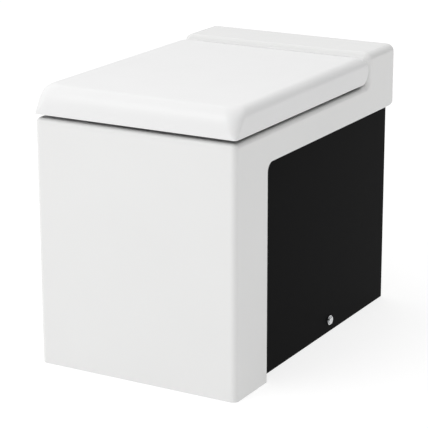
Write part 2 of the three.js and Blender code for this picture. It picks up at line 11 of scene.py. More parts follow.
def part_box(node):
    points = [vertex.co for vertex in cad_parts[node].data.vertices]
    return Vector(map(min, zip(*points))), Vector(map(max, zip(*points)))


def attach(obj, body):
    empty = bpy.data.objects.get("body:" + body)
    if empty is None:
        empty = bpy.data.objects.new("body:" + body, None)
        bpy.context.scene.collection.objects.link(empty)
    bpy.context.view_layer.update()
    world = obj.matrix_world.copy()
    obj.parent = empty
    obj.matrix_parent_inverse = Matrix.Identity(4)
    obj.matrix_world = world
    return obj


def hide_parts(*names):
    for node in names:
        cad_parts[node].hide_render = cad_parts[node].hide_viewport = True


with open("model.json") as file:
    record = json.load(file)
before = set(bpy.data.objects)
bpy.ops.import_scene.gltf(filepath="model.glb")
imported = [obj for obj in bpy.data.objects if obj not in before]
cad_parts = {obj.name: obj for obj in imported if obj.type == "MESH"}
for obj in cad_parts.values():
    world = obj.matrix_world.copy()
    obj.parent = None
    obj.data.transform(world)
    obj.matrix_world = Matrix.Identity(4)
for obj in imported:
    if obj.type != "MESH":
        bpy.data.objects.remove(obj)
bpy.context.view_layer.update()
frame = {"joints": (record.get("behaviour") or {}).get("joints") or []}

bl_info = {
    "name": "Back-to-wall Toilet",
    "version": (1, 0, 0),
    "blender": (4, 5, 0),
    "location": "View3D > Sidebar > Toilet",
    "description": "Builds the visible pieces of a square back-to-wall toilet round its packed frame",
    "category": "Add Mesh",
}

MM = 0.001
UP, ACROSS, ALONG = "up", "across", "along"  # the ways an outline can be drawn out
SIDES = (("left", -1), ("right", 1))
ROUND = 64  # facets of a turned piece
SMOOTH_BELOW = math.radians(28)


# ------------------------------------------------------------------ sizes read from the frame
def low(node):
    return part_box(node)[0]


def high(node):
    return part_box(node)[1]


def middle(node):
    return (low(node) + high(node)) / 2


FRONT = low("white_shell").y


def x_reach(node):
    """A node's reach across the width, in millimetres."""
    return low(node).x / MM, high(node).x / MM


def d_reach(node):
    """A node's reach from the front backwards, in millimetres."""
    return (low(node).y - FRONT) / MM, (high(node).y - FRONT) / MM


def z_reach(node):
    """A node's lower and upper height, in millimetres."""
    return low(node).z / MM, high(node).z / MM


def outwards(node):
    """A side piece's reach as distances from the middle plane, nearest first."""
    return sorted(abs(v) for v in x_reach(node))


WIDTH = (high("white_shell").x - low("white_shell").x) / MM
LENGTH = (high("white_shell").y - FRONT) / MM
BLOCK_TOP = high("white_shell").z / MM
PEDESTAL_HALF = high("black_pedestal").x / MM
PEDESTAL_FRONT = (low("black_pedestal").y - FRONT) / MM
LID_HALF = high("lid").x / MM
LID_LOW, LID_TOP = z_reach("lid")
HINGE = Vector(frame["joints"][0]["pos_m"])
HINGE_D = (HINGE.y - FRONT) / MM  # from the front
HINGE_Z = HINGE.z / MM
HINGE_X = middle("hinge_post_right").x / MM
LID_R = HINGE_Z - LID_LOW
LID_FOOT = LID_LOW + 0.7
FOOT_CORNER = 4  # radius of the lid's front corners at its foot
DECK_TOP = low("hinge_plate_left").z / MM - 0.3
SEAT_LOW = high("seat_buffer_front_left").z / MM + 0.3
SEAT_TOP = low("lid_buffer_front_left").z / MM - 0.3
LID_UNDER = high("lid_buffer_front_left").z / MM + 0.3
OUTLET_Z = 180
INLET_Z = middle("inlet_seal").z / MM


def at(points):
    """Points given as [x, from the front, z] in millimetres, in the frame's metres."""
    p = np.array(points, float) * MM
    p[..., 1] += FRONT
    return p


# ------------------------------------------------------------------ settings
def length(name, description, default):
    return FloatProperty(
        name=name, description=description, default=default * MM, unit="LENGTH", subtype="DISTANCE"
    )


def colour(name, description, default):
    return FloatVectorProperty(
        name=name, description=description, default=default, size=3, min=0, max=1, subtype="COLOR"
    )


class ShellSettings(bpy.types.PropertyGroup):
    """Sizes of the ceramic shell and its recess."""

    slab: length("Slab depth", "Depth of the front slab", 101)
    band_low: length("Band underside", "Height of the rim band's lower edge", 356.3)
    block_front: length("Block front", "Where the raised rear block starts, from the front", 455.4)
    wall: length("Wall", "Thickness of the ceramic", 12)
    edge: length("Slab edge", "Rounding of the slab's upright edges and the rim", 9.5)
    block_edge: length("Block edge", "Rounding of the rear block's edges", 13)
    recess_edge: length("Recess edge", "Rounding where the sides meet the recess", 1.8)
    recess_corner: length("Recess corner", "Radius of the recess's inner corner", 15)
    rear_corner: length("Rear corner", "Radius of the band's lower rear corner", 22)
    opening_width: length("Opening width", "Width of the rim opening", 256)
    opening_length: length("Opening length", "Length of the rim opening", 330)
    opening_edge: length("Opening edge", "Rounding of the rim opening", 7)


class SeatSettings(bpy.types.PropertyGroup):
    """Sizes of the lid and the seat ring."""

    nose: length("Lid nose", "How far back the lid's front curves", 27)
    nose_height: length("Nose height", "Height of the curve of the lid's front", 38)
    lid_edge: length("Lid edge", "Rounding of the lid's sides", 17)
    lid_corner: length("Lid corner", "Radius of the lid's front corners at its top", 24)
    lid_wall: length("Lid wall", "Thickness of the lid's skirts", 6.5)
    hole_width: length("Seat hole width", "Width of the hole in the seat", 214)
    hole_length: length("Seat hole length", "Length of the hole in the seat", 272)
    dish: length("Seat slope", "Width of the slope into the seat's hole", 20)


class FinishSettings(bpy.types.PropertyGroup):
    """Colours of the finishes."""

    white: colour("White glaze", "Colour of the white ceramic", (0.83, 0.83, 0.825))
    black: colour("Black glaze", "Colour of the recessed pedestal", (0.0054, 0.0054, 0.0056))
    resin: colour("Seat resin", "Colour of the lid and the seat", (0.865, 0.865, 0.865))
    chrome: colour("Chrome", "Colour of the chrome plate", (0.72, 0.73, 0.74))
    zinc: colour("Zinc plate", "Colour of the plated steel", (0.5, 0.53, 0.58))
    steel: colour("Stainless steel", "Colour of the pins and plates", (0.56, 0.56, 0.57))
    black_rubber: colour("Black rubber", "Colour of the seal and washers", (0.018, 0.018, 0.019))
    grey_rubber: colour("Grey rubber", "Colour of the buffers", (0.42, 0.43, 0.44))
    nylon: colour("Nylon", "Colour of the plastic fixings", (0.68, 0.67, 0.64))
    bisque: colour("Bare ceramic", "Colour of the unglazed ceramic", (0.7, 0.67, 0.62))


class ScrewSettings(bpy.types.PropertyGroup):
    """Threads of the fixings."""

    pitch: length("Thread pitch", "Rise of the bolt thread per turn", 1.25)
    thread: length("Thread height", "How far the thread stands proud of its core", 0.55)
    facets: IntProperty(name="Thread facets", description="Facets per turn of thread", default=20, min=8, max=64)


def strength(name, description, default):
    return FloatProperty(name=name, description=description, default=default, min=0)


class StageSettings(bpy.types.PropertyGroup):
    """Camera and studio light."""

    lens: FloatProperty(name="Lens", description="Focal length", default=152.5, subtype="DISTANCE_CAMERA")
    overhead: strength("Overhead light", "Brightness of the studio above", 1.04)
    front: strength("Front light", "Brightness of the studio in front", 0.58)
    back: strength("Back light", "Brightness of the studio behind", 0.9)
    left: strength("Left light", "Brightness of the studio on the left", 1.0)
    right: strength("Right light", "Brightness of the studio on the right", 0.02)
    shade: strength("Right shade", "How much the studio darkens to the right", 1.0)
    rise_low: strength("Rise start", "Height, as a sine, where the light from above sets in", 0.2)
    rise_high: strength("Rise end", "Height, as a sine, where the light from above has taken over", 0.72)
    dusk: strength("Dusk", "Share of the light that is left at the floor's edge", 0.3)
    dusk_high: strength("Dusk height", "Height, as a sine, where the dusk ends", 0.22)
    fall: strength("Shade fall", "How suddenly the shade on the right sets in", 1.25)
    key: FloatProperty(name="Key light", description="Power of the lamp in front", default=19.5, unit="POWER")
    floor: colour("Floor", "Colour of the floor", (0.36, 0.36, 0.36))
    floor_glow: strength("Floor glow", "Light given off by the floor", 0.72)


# ------------------------------------------------------------------ shaders
class Value:
    """A shader socket that adds its Math nodes when it is used in an expression."""

    def __init__(self, shader, socket):
        self.shader, self.socket = shader, socket

    def _with(self, operation, first, second):
        return self.shader.node("Math", {"operation": operation}, {0: first, 1: second})

    def __add__(self, other):
        return self._with("ADD", self, other)

    def __radd__(self, other):
        return self._with("ADD", other, self)

    def __sub__(self, other):
        return self._with("SUBTRACT", self, other)

    def __rsub__(self, other):
        return self._with("SUBTRACT", other, self)

    def __mul__(self, other):
        return self._with("MULTIPLY", self, other)

    def __rmul__(self, other):
        return self._with("MULTIPLY", other, self)

    def __pow__(self, other):
        return self._with("POWER", self, other)


class Shading:
    """A shader node tree under construction."""

    def __init__(self, tree):
        self.tree = tree

    def node(self, kind, settings=None, sockets=None, output=0):
        made = self.tree.nodes.new("ShaderNode" + kind)
        for name, value in (settings or {}).items():
            if name == "stops":
                for element, (place, shade) in zip(made.color_ramp.elements, value):
                    element.position = place
                    element.color = (shade, shade, shade, 1)
            else:
                setattr(made, name, value)
        for name, value in (sockets or {}).items():
            if isinstance(value, Value):
                self.tree.links.new(value.socket, made.inputs[name])
            else:
                made.inputs[name].default_value = value
        return Value(self, made.outputs[output])


class Finish(Shading):
    """A material under construction: its node tree and its Principled shader."""

    def __init__(self, name, **constants):
        self.material = bpy.data.materials.new(name)
        self.material.use_nodes = True
        super().__init__(self.material.node_tree)
        self.shader = self.tree.nodes["Principled BSDF"]
        for socket, value in constants.items():
            self.shader.inputs[socket.replace("_", " ")].default_value = value
        self.place = self.node("TexCoord", output="Object")

    def noise(self, scale, detail=2.0, stretch=None, roughness=0.5):
        place = self.place
        if stretch:
            place = self.node("Mapping", sockets={"Vector": place, "Scale": stretch})
        return self.node(
            "TexNoise", sockets={"Vector": place, "Scale": scale, "Detail": detail, "Roughness": roughness}
        )

    def tint(self, factor, first, second):
        """A colour between two others."""
        return self.node(
            "Mix",
            {"data_type": "RGBA"},
            {0: factor, 6: (*first, 1), 7: (*second, 1)},
            output=2,
        )

    def bump(self, height, strength, distance):
        return self.node("Bump", sockets={"Height": height, "Strength": strength, "Distance": distance})

    def drive(self, **sockets):
        for socket, value in sockets.items():
            self.tree.links.new(value.socket, self.shader.inputs[socket.replace("_", " ")])
        return self.material


def darker(shade, share):
    return tuple(c * share for c in shade)


def glaze(name, shade, roughness, specular, wave, flow):
    """Fired glaze: a slow swell of the clay under it, a little unevenness in its gloss and a few pinholes."""
    made = Finish(name, Specular_IOR_Level=specular, Coat_Roughness=0.04)
    swell = made.noise(7, 1.5)
    skin = made.noise(55, 2)
    pores = made.node("TexVoronoi", {"feature": "F1"}, {"Vector": made.place, "Scale": 90.0})
    pinhole = made.node("ValToRGB", {"stops": ((0.0, 0.0), (0.045, 1.0))}, {0: pores})
    height = swell * wave + skin * flow + pinhole * 0.02
    return made.drive(
        Base_Color=made.tint(swell, shade, darker(shade, 0.975)),
        Roughness=skin * 0.05 + roughness,
        Normal=made.bump(height, 0.35, 0.0012),
    )


def moulded(name, shade, roughness, grain):
    """Moulded plastic with a faint flow pattern."""
    made = Finish(name, Specular_IOR_Level=0.25)
    flow = made.noise(12, 2)
    skin = made.noise(grain, 3)
    return made.drive(
        Base_Color=made.tint(flow, shade, darker(shade, 0.965)),
        Roughness=skin * 0.08 + roughness,
        Normal=made.bump(flow * 0.6 + skin * 0.12, 0.3, 0.0006),
    )


def plated(name, shade, roughness, mottle):
    """Polished or plated metal with a cloudy film and fine scuffs."""
    made = Finish(name, Metallic=1.0)
    cloud = made.noise(mottle, 4)
    scuff = made.noise(260, 3, stretch=(1, 1, 0.12))
    return made.drive(
        Base_Color=made.tint(cloud, shade, darker(shade, 0.86)),
        Roughness=cloud * 0.09 + scuff * 0.06 + roughness,
        Normal=made.bump(scuff, 0.08, 0.0003),
    )


def brushed(name, shade):
    """Steel with drawn lines along the width."""
    made = Finish(name, Metallic=1.0)
    lines = made.noise(900, 4, stretch=(0.03, 1, 1))
    cloud = made.noise(30, 2)
    return made.drive(
        Base_Color=made.tint(lines, shade, darker(shade, 0.8)),
        Roughness=lines * 0.14 + cloud * 0.08 + 0.2,
        Normal=made.bump(lines, 0.2, 0.0003),
    )


def moulded_rubber(name, shade, roughness):
    """Rubber with a dusty bloom and a pitted skin."""
    made = Finish(name, Specular_IOR_Level=0.35)
    bloom = made.noise(60, 4)
    pits = made.noise(900, 3)
    return made.drive(
        Base_Color=made.tint(bloom, shade, tuple(c * 1.25 + 0.006 for c in shade)),
        Roughness=bloom * 0.15 + roughness,
        Normal=made.bump(pits, 0.35, 0.0003),
    )


def bare_ceramic(name, shade):
    """Unglazed clay: matt and sandy, with faint casting marks."""
    made = Finish(name, Specular_IOR_Level=0.25)
    sand = made.noise(700, 4)
    patch = made.noise(16, 4)
    return made.drive(
        Base_Color=made.tint(patch, shade, darker(shade, 0.86)),
        Roughness=sand * 0.1 + 0.78,
        Normal=made.bump(sand * 0.4 + patch, 0.5, 0.0007),
    )


FINISHES = {}


def make_finishes(s):
    FINISHES.update(
        white=glaze("white_glaze", tuple(s.white), roughness=0.16, specular=0.25, wave=0.7, flow=0.1),
        black=glaze("black_glaze", tuple(s.black), roughness=0.3, specular=0.008, wave=0.5, flow=0.1),
        resin=moulded("seat_resin", tuple(s.resin), roughness=0.28, grain=300.0),
        chrome=plated("chrome_plate", tuple(s.chrome), roughness=0.06, mottle=40.0),
        zinc=plated("zinc_plate", tuple(s.zinc), roughness=0.3, mottle=110.0),
        steel=brushed("stainless_steel", tuple(s.steel)),
        black_rubber=moulded_rubber("black_rubber", tuple(s.black_rubber), roughness=0.62),
        grey_rubber=moulded_rubber("grey_rubber", tuple(s.grey_rubber), roughness=0.5),
        nylon=moulded("nylon", tuple(s.nylon), roughness=0.38, grain=500.0),
        bisque=bare_ceramic("bare_ceramic", tuple(s.bisque)),
    )


# ------------------------------------------------------------------ mesh helpers
def new_object(name, points, faces, finish):
    """A closed mesh from points in the frame's metres, its normals turned outwards."""
    data = bpy.data.meshes.new(name)
    data.from_pydata([tuple(p) for p in points], [], faces)
    bm = bmesh.new()
    bm.from_mesh(data)
    bmesh.ops.remove_doubles(bm, verts=bm.verts, dist=2e-7)
    bmesh.ops.dissolve_degenerate(bm, edges=bm.edges, dist=2e-7)
    bmesh.ops.recalc_face_normals(bm, faces=bm.faces)
    bm.to_mesh(data)
    bm.free()
    data.materials.append(FINISHES[finish])
    made = bpy.data.objects.new(name, data)
    bpy.context.scene.collection.objects.link(made)
    return made


def plain_mesh(target):
    """Swaps an object's mesh for what its modifiers make of it, and removes them."""
    bpy.context.view_layer.update()
    made = bpy.data.meshes.new_from_object(target.evaluated_get(bpy.context.evaluated_depsgraph_get()))
    if not made.polygons:
        raise RuntimeError(f"{target.name} has no faces left")
    target.modifiers.clear()
    target.data = made


def corner(u, v, radius=0.0, roll=0.0, lock=None):
    """One corner of an outline: its place, its radius, how far its edge rolls over, and its way in if not square."""
    return u, v, radius, roll, lock


def outline(corners, steps=8):
    """Points, inward normals and rolls round a closed, counter-clockwise outline with rounded corners."""
    points, normals, rolls = [], [], []
    for i, (u, v, radius, roll, lock) in enumerate(corners):
        here = np.array((u, v), float)
        before = here - np.array(corners[i - 1][:2], float)
        after = np.array(corners[(i + 1) % len(corners)][:2], float) - here
        before, after = before / np.linalg.norm(before), after / np.linalg.norm(after)
        n1, n2 = np.array((-before[1], before[0])), np.array((-after[1], after[0]))
        if radius == 0:
            points.append(here)
            normals.append(np.array(lock, float) if lock else (n1 + n2) / (1 + n1 @ n2))
            rolls.append(roll)
            continue
        turn = math.atan2(before[0] * after[1] - before[1] * after[0], before @ after)
        bend = math.copysign(1, turn)
        start = here - before * radius * math.tan(abs(turn) / 2)
        centre = start + n1 * radius * bend
        for k in range(steps + 1):
            a = turn * k / steps
            n = np.array((n1[0] * math.cos(a) - n1[1] * math.sin(a), n1[0] * math.sin(a) + n1[1] * math.cos(a)))
            points.append(centre - n * radius * bend)
            normals.append(n)
            rolls.append(roll)
    return np.array(points), np.array(normals), np.array(rolls)


def rectangle(x0, x1, y0, y1, radius, roll=0.0, steps=8):
    """The outline of a rectangle with rounded corners."""
    places = ((x0, y0), (x1, y0), (x1, y1), (x0, y1))
    return outline([corner(x, y, radius, roll) for x, y in places], steps)


def drawn_out(name, shape, levels, way, finish):
    """A closed solid through insets of an outline: levels are (how far along, inset), lowest first."""
    points, normals, _ = shape
    rings = []
    for along, inset in levels:
        uv = points + normals * (np.asarray(inset, float) * np.ones(len(points)))[:, None]
        a = np.asarray(along, float) * np.ones(len(points))
        order = {
            UP: (uv[:, 0], uv[:, 1], a),
            ACROSS: (a, uv[:, 0], uv[:, 1]),
            ALONG: (uv[:, 0], a, uv[:, 1]),
        }[way]
        rings.append(np.stack(order, 1))
    return stacked(name, rings, finish)


def stacked(name, rings, finish):
    """A closed solid through rings of [x, from the front, z] points, each ring the same count."""
    n, count = len(rings[0]), len(rings)
    faces = [tuple(range(n)), tuple((count - 1) * n + i for i in range(n))]
    for k in range(count - 1):
        faces += [(k * n + i, k * n + (i + 1) % n, (k + 1) * n + (i + 1) % n, (k + 1) * n + i) for i in range(n)]
    return new_object(name, at(np.concatenate([np.array(ring, float) for ring in rings])), faces, finish)


def rolled(name, shape, a0, a1, way, finish, steps=8):
    """An outline drawn out from a0 to a1, its end edges rolled over by the outline's own rolls."""
    rolls = shape[2]
    turns = [(1 - math.cos(t), 1 - math.sin(t)) for t in (math.pi / 2 * k / steps for k in range(steps + 1))]
    levels = [(a0 + rolls * along, rolls * inset) for along, inset in turns]
    levels += [(a1 - rolls * along, rolls * inset) for along, inset in reversed(turns)]
    return drawn_out(name, shape, levels, way, finish)


def box(name, x, d, z, finish, radius=0.0, roll=0.0):
    """A box from pairs of x, distance from the front, and height, with rounded upright edges and rolled ends."""
    if radius:
        return rolled(name, rectangle(*x, *d, radius, roll, 5), z[0], z[1], UP, finish, 4)
    return drawn_out(name, rectangle(*x, *d, 0), [(z[0], 0), (z[1], 0)], UP, finish)


def turned(name, profile, way, centre, finish, facets=ROUND):
    """A turned solid: profile is [along, radius] pairs, and centre is [x, from the front, z] where along is 0."""
    rings, faces = [], []
    for along, radius in profile:
        ring = []
        for i in range(facets):
            c, s = math.cos(2 * math.pi * i / facets), math.sin(2 * math.pi * i / facets)
            ring.append(
                {
                    UP: (radius * c, radius * s, along),
                    ACROSS: (along, radius * c, radius * s),
                    ALONG: (radius * s, along, radius * c),
                }[way]
            )
        rings.append(np.array(ring) + np.array(centre))
    closed = profile[0] == profile[-1]
    if closed:
        rings.pop()
    count = len(rings)
    for k in range(count if closed else count - 1):
        for i in range(facets):
            j, m = (i + 1) % facets, (k + 1) % count
            faces.append((k * facets + i, k * facets + j, m * facets + j, m * facets + i))
    if not closed:
        faces.append(tuple(range(facets)))
        faces.append(tuple((count - 1) * facets + i for i in range(facets)))
    return new_object(name, at(np.concatenate(rings)), faces, finish)


def rounded_rod(name, a0, a1, radius, way, centre, finish, chamfer=0.6, facets=ROUND):
    """A turned rod from a0 to a1 with softened ends."""
    profile = [(a0, radius - chamfer)]
    profile += [(a0 + chamfer * (1 - math.cos(t)), radius - chamfer * (1 - math.sin(t))) for t in (0.5, 1.0, 1.5708)]
    profile += [(a0 + a1 - a, r) for a, r in reversed(profile)]
    return turned(name, profile, way, centre, finish, facets)


def combine(target, operation, *tools):
    """Joins tools to the target, or cuts them out of it, and removes them."""
    for tool in tools:
        change = target.modifiers.new("combine", "BOOLEAN")
        change.operation = operation
        change.solver = "MANIFOLD"
        change.object = tool
        change.material_mode = "TRANSFER"
    plain_mesh(target)
    for tool in tools:
        bpy.data.objects.remove(tool)
    return target


def join(target, *tools):
    return combine(target, "UNION", *tools)


def cut(target, *tools):
    return combine(target, "DIFFERENCE", *tools)


def hand_over(piece, body, slot, *nodes):
    """Smooths the piece while its flats stay flat, rides it on its body, and lets it stand for its nodes."""
    piece.data.shade_smooth()
    piece.data.set_sharp_from_angle(angle=SMOOTH_BELOW)
    shading = piece.modifiers.new("shading", "WEIGHTED_NORMAL")
    shading.keep_sharp = True
    shading.weight = 100
    plain_mesh(piece)
    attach(piece, body)
    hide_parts(*nodes)


# ------------------------------------------------------------------ ceramic
def shell_profile(s):
    """The shell from the side, before its recess: [from the front, height]."""
    edge, block = s.edge / MM, s.block_edge / MM
    return outline(
        [
            corner(0, 0, 0, edge, (1, 0)),
            corner(LENGTH, 0, 0, block, (-1, 0)),
            corner(LENGTH, BLOCK_TOP, 14, block),
            corner(s.block_front / MM, BLOCK_TOP, 13, block),
            corner(s.block_front / MM, DECK_TOP, 6, edge),
            corner(0, DECK_TOP, 10, edge),
        ],
        10,
    )


def recess_profile(s, inset, floor, back):
    """The recess behind the slab and under the band, drawn in by a clearance."""
    inner, rear = s.recess_corner / MM, s.rear_corner / MM
    front, top = s.slab / MM + inset, s.band_low / MM - inset
    return outline(
        [
            corner(front, floor),
            corner(back, floor),
            corner(back, top + 60),
            corner(LENGTH + inset, top + 60),
            corner(LENGTH + inset, top, rear + inset),
            corner(front, top, inner - inset),
        ],
        10,
    )


OPENING_FRONT = 52  # the rim opening's front end, and the radius of its corners
OPENING_CORNER = 100
LIP_DEPTH = 28  # how far the opening's inner lip reaches below the deck
REAR_OPENING_TOP = 385


def rim_opening(s, grow=0.0):
    """The rim opening in plan."""
    half, front = s.opening_width / MM / 2 + grow, OPENING_FRONT - grow
    back = front + s.opening_length / MM + 2 * grow
    return rectangle(-half, half, front, back, OPENING_CORNER + grow, 0, 16)


def quarter(radius, depth, steps=8):
    """(depth below the surface, flare) pairs of a rolled edge, deepest first."""
    angles = [math.pi / 2 * k / steps for k in range(steps + 1)]
    return [(depth * math.cos(t), radius * (1 - math.cos(math.pi / 2 - t))) for t in angles]


def make_shell(s):
    half, wall = WIDTH / 2, s.wall / MM
    inner_half = PEDESTAL_HALF - wall
    deck_under = DECK_TOP - wall
    shell = rolled("white_shell_ceramic", shell_profile(s), -half, half, ACROSS, "white", 9)
    edge = s.recess_edge / MM
    for word, side in SIDES:
        levels = [(side * (PEDESTAL_HALF - 5), 0), (side * (half - edge), 0)]
        levels += [
            (side * (half - edge + edge * math.sin(t)), -edge * (1 - math.cos(t))) for t in (0.4, 0.8, 1.2, 1.5708)
        ]
        levels += [(side * (half + 5), -edge)]
        cut(shell, drawn_out("recess", recess_profile(s, 0, -20, LENGTH + 30), levels[::side], ACROSS, "white"))
    slab, band = s.slab / MM, s.band_low / MM
    wide = half - wall
    hollows = [
        box("room", (-wide, wide), (wall, slab - wall), (-30, deck_under), "bisque", 8, 8),
        box("room", (-inner_half, inner_half), (slab - 2 * wall, LENGTH - wall), (-30, deck_under), "bisque", 8, 8),
        box("room", (-inner_half, inner_half), (slab, LENGTH + 30), (-30, REAR_OPENING_TOP), "bisque"),
        box("room", (-wide, wide), (slab - 2 * wall, LENGTH - wall), (band + wall, deck_under), "bisque", 8, 5),
        box(
            "room", (-wide, wide), (s.block_front / MM + wall, LENGTH - wall), (deck_under - 20, BLOCK_TOP - wall),
            "bisque", 8, 8,
        ),
    ]
    cut(shell, *hollows)
    lip_low = DECK_TOP - LIP_DEPTH
    roll = [(lip_low + 3 * (1 - math.cos(t)), 3 * (1 - math.sin(t))) for t in (0, 0.5, 1.0, 1.5708)]
    join(shell, drawn_out("lip", rim_opening(s, 8), [*roll, (deck_under + 4, 0)], UP, "white"))
    flare = s.opening_edge / MM
    levels = [(lip_low - 20, -2.5), (lip_low, -2.5), (lip_low + 1, -1), (lip_low + 3, 0), (DECK_TOP - flare, 0)]
    levels += [(DECK_TOP - depth, -out) for depth, out in quarter(flare, flare)[1:]]
    levels.append((DECK_TOP + 20, -flare))
    holes = [drawn_out("hole", rim_opening(s), levels, UP, "white")]
    holes += [
        turned("hole", [(deck_under - 30, 7), (DECK_TOP + 30, 7)], UP, (side * HINGE_X, HINGE_D, 0), "bisque", 32)
        for _, side in SIDES
    ]
    cut(shell, *holes)
    hand_over(shell, "pan", "white_glaze", "white_shell")


FOOT_STRIP = 110  # height of the strip that closes the pedestal's front at the floor
CLEAR = 500  # above everything


def make_pedestal(s):
    wall, gap = s.wall / MM, 0.3
    inside = (-(PEDESTAL_HALF - wall), PEDESTAL_HALF - wall)
    points, normals, rolls = recess_profile(s, gap, 0, LENGTH)
    shape = (points, normals, rolls + 0.9)
    body = rolled("black_pedestal_panels", shape, -PEDESTAL_HALF, PEDESTAL_HALF, ACROSS, "black", 3)
    x = 2 * PEDESTAL_HALF
    cut(
        body,
        box("trim", (-x, x), (LENGTH, LENGTH + 60), (-20, CLEAR), "black"),
        box("room", inside, (PEDESTAL_FRONT + wall, LENGTH + 20), (-20, CLEAR), "bisque"),
        box("room", inside, (PEDESTAL_FRONT - 5, PEDESTAL_FRONT + wall + 5), (FOOT_STRIP, CLEAR), "bisque"),
        turned("hole", [(-x, 7.8), (x, 7.8)], ACROSS, screw_place(), "bisque", 32),
    )
    hand_over(body, "pan", "black_glaze", "black_pedestal")


def screw_place():
    """The side screws' line, as [0, from the front, z]."""
    centre = middle("screw_cap_right")
    return 0, (centre.y - FRONT) / MM, centre.z / MM


# The bowl's inside, lowest first: height, half width, half length, centre from the front, squareness.
BOWL = (
    (132, 30, 40, 284, 2.1),
    (136, 39, 50, 283, 2.1),
    (142, 45, 56, 282, 2.1),
    (185, 58, 75, 271, 2.2),
    (235, 80, 107, 249, 2.4),
    (290, 109, 142, 229, 2.7),
    (340, 129, 166, 221, 3.0),
    (368, 136, 174, 219, 3.3),
    (378, 142, 179, 218, 3.4),
    (395.7, 144, 180, 218, 3.4),
)


def smooth_levels(rows, heights):
    """Rows of numbers interpolated smoothly at new heights (the first column), without overshoot."""
    rows = np.array(rows, float)
    h = rows[:, 0]
    steps, rises = np.diff(h)[:, None], np.diff(rows, axis=0)
    slopes = rises / steps
    tangents = np.zeros_like(rows)
    tangents[0], tangents[-1] = slopes[0], slopes[-1]
    inner = slopes[:-1] * slopes[1:] > 0
    tangents[1:-1] = np.where(inner, 2 * slopes[:-1] * slopes[1:] / (slopes[:-1] + slopes[1:] + 1e-12), 0)
    made = []
    for z in heights:
        i = int(np.clip(np.searchsorted(h, z) - 1, 0, len(h) - 2))
        w = h[i + 1] - h[i]
        t = (z - h[i]) / w
        made.append(
            rows[i] * (2 * t**3 - 3 * t**2 + 1)
            + rows[i + 1] * (3 * t**2 - 2 * t**3)
            + tangents[i] * w * (t**3 - 2 * t**2 + t)
            + tangents[i + 1] * w * (t**3 - t**2)
        )
        made[-1][0] = z
    return made


def bowl_solid(name, grow, heights, drop, finish, points=96):
    """A loft through the bowl's rings, grown by its wall, its foot dropped by the same."""
    rings = []
    for z, a, b, c, p in smooth_levels(BOWL, heights):
        t = 2 * math.pi * np.arange(points) / points
        x = (a + grow) * np.sign(np.cos(t)) * np.abs(np.cos(t)) ** (2 / p)
        d = c + (b + grow) * np.sign(np.sin(t)) * np.abs(np.sin(t)) ** (2 / p)
        rings.append(np.stack((x, d, np.full(points, z - (drop if z < 140 else 0))), 1))
    return stacked(name, rings, finish)


TRAP = (
    (292, 162), (338, 162), (368, 172), (386, 198), (392, 232), (405, 262), (434, 276),
    (463, 264), (476, 236), (484, 206), (506, 184), (530, OUTLET_Z), (561, OUTLET_Z),
)
INLET = ((392, 365.5), (430, 354.5), (470, 336), (502, 326), (530, INLET_Z), (559, INLET_Z))
TRAP_BORE, INLET_BORE, SPIGOT_BORE = 27, 23, 43
PIPE_WALL, BOWL_WALL = 8, 9
BOWL_RIM = BOWL[-1][0]


def pipe(name, route, radius, finish, past=0.0, facets=40, per_span=5):
    """A round pipe through [from the front, z] points in the middle plane."""
    knots = [np.array(p, float) for p in route]
    knots = [2 * knots[0] - knots[1], *knots, 2 * knots[-1] - knots[-2]]
    path = []
    for a, b, c, d in zip(knots, knots[1:], knots[2:], knots[3:]):
        for k in range(per_span):
            t = k / per_span
            path.append(
                0.5 * (2 * b + (c - a) * t + (2 * a - 5 * b + 4 * c - d) * t**2 + (3 * b - a - 3 * c + d) * t**3)
            )
    path.append(knots[-2])
    if past:
        path.append(knots[-2] + np.array((past, 0)))
    path = np.array(path)
    way = np.gradient(path, axis=0)
    way /= np.linalg.norm(way, axis=1)[:, None]
    t = 2 * math.pi * np.arange(facets) / facets
    rings = []
    for (d, z), (wd, wz) in zip(path, way):
        rings.append(np.stack((radius * np.cos(t), d - wz * radius * np.sin(t), z + wd * radius * np.sin(t)), 1))
    return stacked(name, rings, finish)


def make_bowl():
    heights = [132, 134, 136, 139, 142, *range(148, 368, 8), 368, 372, 375, 378, 384, 390, BOWL_RIM]
    body = bowl_solid("bowl_and_trapway_ceramic", BOWL_WALL, heights, BOWL_WALL, "bisque")
    join(
        body,
        pipe("trap", TRAP, TRAP_BORE + PIPE_WALL, "bisque"),
        rounded_rod("spigot", 499, 561, SPIGOT_BORE + PIPE_WALL, ALONG, (0, 0, OUTLET_Z), "bisque", 2.5),
        pipe("inlet", INLET, INLET_BORE + PIPE_WALL, "bisque"),
    )
    cut(
        body,
        bowl_solid("room", 0, heights, 0, "white"),
        box("top", (-200, 200), (0, 500), (395.6, 420), "white"),
        turned("bore", [(507, SPIGOT_BORE), (600, SPIGOT_BORE)], ALONG, (0, 0, OUTLET_Z), "bisque"),
        pipe("bore", TRAP, TRAP_BORE, "white", 30),
        pipe("bore", ((375, 371.5), *INLET), INLET_BORE, "white", 30),
    )
    hand_over(body, "pan", "bowl_glaze", "bowl", "trapway", "flush_inlet")


# ------------------------------------------------------------------ lid and seat
KNUCKLE_R = 11.8
KNUCKLE, BARREL = 14, 42  # lengths of a plain knuckle and of one that holds a damper
PIN_BORE, DAMPER_BORE, BOLT_BORE = 4.3, 8.9, 4.3
OUTSIDE = HINGE_X + 14.8
INSIDE = HINGE_X - 14.8
KNUCKLES = {
    "lid": ((-OUTSIDE - BARREL, -OUTSIDE), (OUTSIDE, OUTSIDE + KNUCKLE)),
    "seat": ((-INSIDE, -INSIDE + KNUCKLE), (INSIDE - BARREL, INSIDE)),
}


def lid_levels(count=48):
    """Heights up the lid, close together where its back end curves under and over."""
    heights = [HINGE_Z - LID_R * math.cos(math.pi * k / count) for k in range(count + 1)]
    return [LID_FOOT, *(z for z in heights if z > LID_FOOT + 0.1)]


